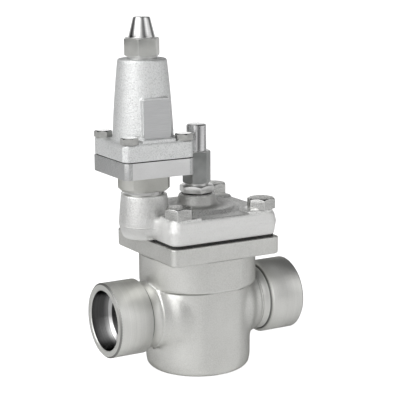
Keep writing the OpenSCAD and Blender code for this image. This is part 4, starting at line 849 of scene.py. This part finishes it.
tree.links.new(bump_node(tree, math_node(tree, "ADD", cut_thread, rind), 1.0, 0.00045), bsdf.inputs["Normal"])


BONNET_UNDER, BONNET_TOP, LAND_LOW, LAND_Y = 0.1852, 0.2590, 0.1985, -0.0232
CAP_NECK_R, CAP_NECK_LOW, SPRING_BORE = 0.0093, 0.2610, 0.0186


def bonnet_rounds(p):
    """None in the bore, on the neck and on the underside, one at the top and on the land, more elsewhere."""
    pilot = math.hypot(p.x - PILOT_X, p.y)
    if p.z < BONNET_UNDER or pilot < (CAP_NECK_R if p.z > CAP_NECK_LOW else SPRING_BORE):
        return 0
    return 1 if p.z > BONNET_TOP or p.y < LAND_Y and p.z > LAND_LOW else 4


bonnet = rounded_skin(packed_copy("pilot_bonnet"), 0.00055, bonnet_rounds, 190000)
new_piece("bonnet_casting", bonnet, bonnet_look, "valve", "pilot_bonnet", slot="cast_bonnet")

# Bare plate: thin bright sheet with rounded corners, stuck on the bonnet's flat land and left blank.
# It is brushed across, and a little darker than the casting round it.
PLATE_LOW, PLATE_HIGH = (-0.0612, 0.2007), (-0.0372, 0.2313)
PLATE_BACK, PLATE_FRONT = -0.0241, -0.0246
(plate_left, plate_foot), (plate_right, plate_head) = PLATE_LOW, PLATE_HIGH
plate_middle = (plate_left + plate_right) / 2, (PLATE_BACK + PLATE_FRONT) / 2, (plate_foot + plate_head) / 2
plate_size = plate_right - plate_left, PLATE_BACK - PLATE_FRONT, plate_head - plate_foot, 1
blank = bmesh.new()
bmesh.ops.create_cube(blank, size=1.0, matrix=Matrix.Translation(plate_middle) @ Matrix.Diagonal(plate_size))
across = [e for e in blank.edges if abs(e.verts[0].co.y - e.verts[1].co.y) > 1e-4]
bmesh.ops.bevel(blank, geom=across, offset=0.0018, offset_type="OFFSET", segments=6, profile=0.5,
                affect="EDGES", material=-1)
rim = [e for e in blank.edges if all(abs(v.co.y - PLATE_FRONT) < 1e-6 for v in e.verts)]
bmesh.ops.bevel(blank, geom=rim, offset=0.0001, offset_type="OFFSET", segments=2, profile=0.5,
                affect="EDGES", material=-1)
bmesh.ops.recalc_face_normals(blank, faces=blank.faces)
plate_look, tree, bsdf, place = steel_look("brushed_sheet")
brush = place_group(tree, blasted_grain, stretched(tree, place, (0.08, 1.0, 3.0)),
                    **{"Grain": 1400.0, "Tone Scale": 400.0})
tree.links.new(mix_node(tree, brush.outputs["Speck"], (0.64, 0.645, 0.65), (0.72, 0.725, 0.73)),
               bsdf.inputs["Base Color"])
tree.links.new(ramp_node(tree, brush.outputs["Tone"], 0, 1, 0.50, 0.38), bsdf.inputs["Roughness"])
tree.links.new(bump_node(tree, brush.outputs["Height"], 0.2, 0.00003), bsdf.inputs["Normal"])
new_piece("bare_plate", blank, plate_look, "valve", slot="cast_bonnet")

# Conical pilot seal cap: hexagon bar with satin flats, its cone turned and polished like a mirror.
PILOT_SHOULDER = 0.2792
PILOT_POLISH = (0.70, 0.70, 0.70), (0.76, 0.76, 0.76), 0.09, 0.13
cone_look = satin_hexagon("pilot_cap_steel", PILOT_X, PILOT_POLISH, PILOT_SHOULDER,
                          (0.60, 0.605, 0.58), (0.70, 0.705, 0.68), 0.20)
finish_packed("pilot_cap", cone_look, 0.0004, rubbed_look)
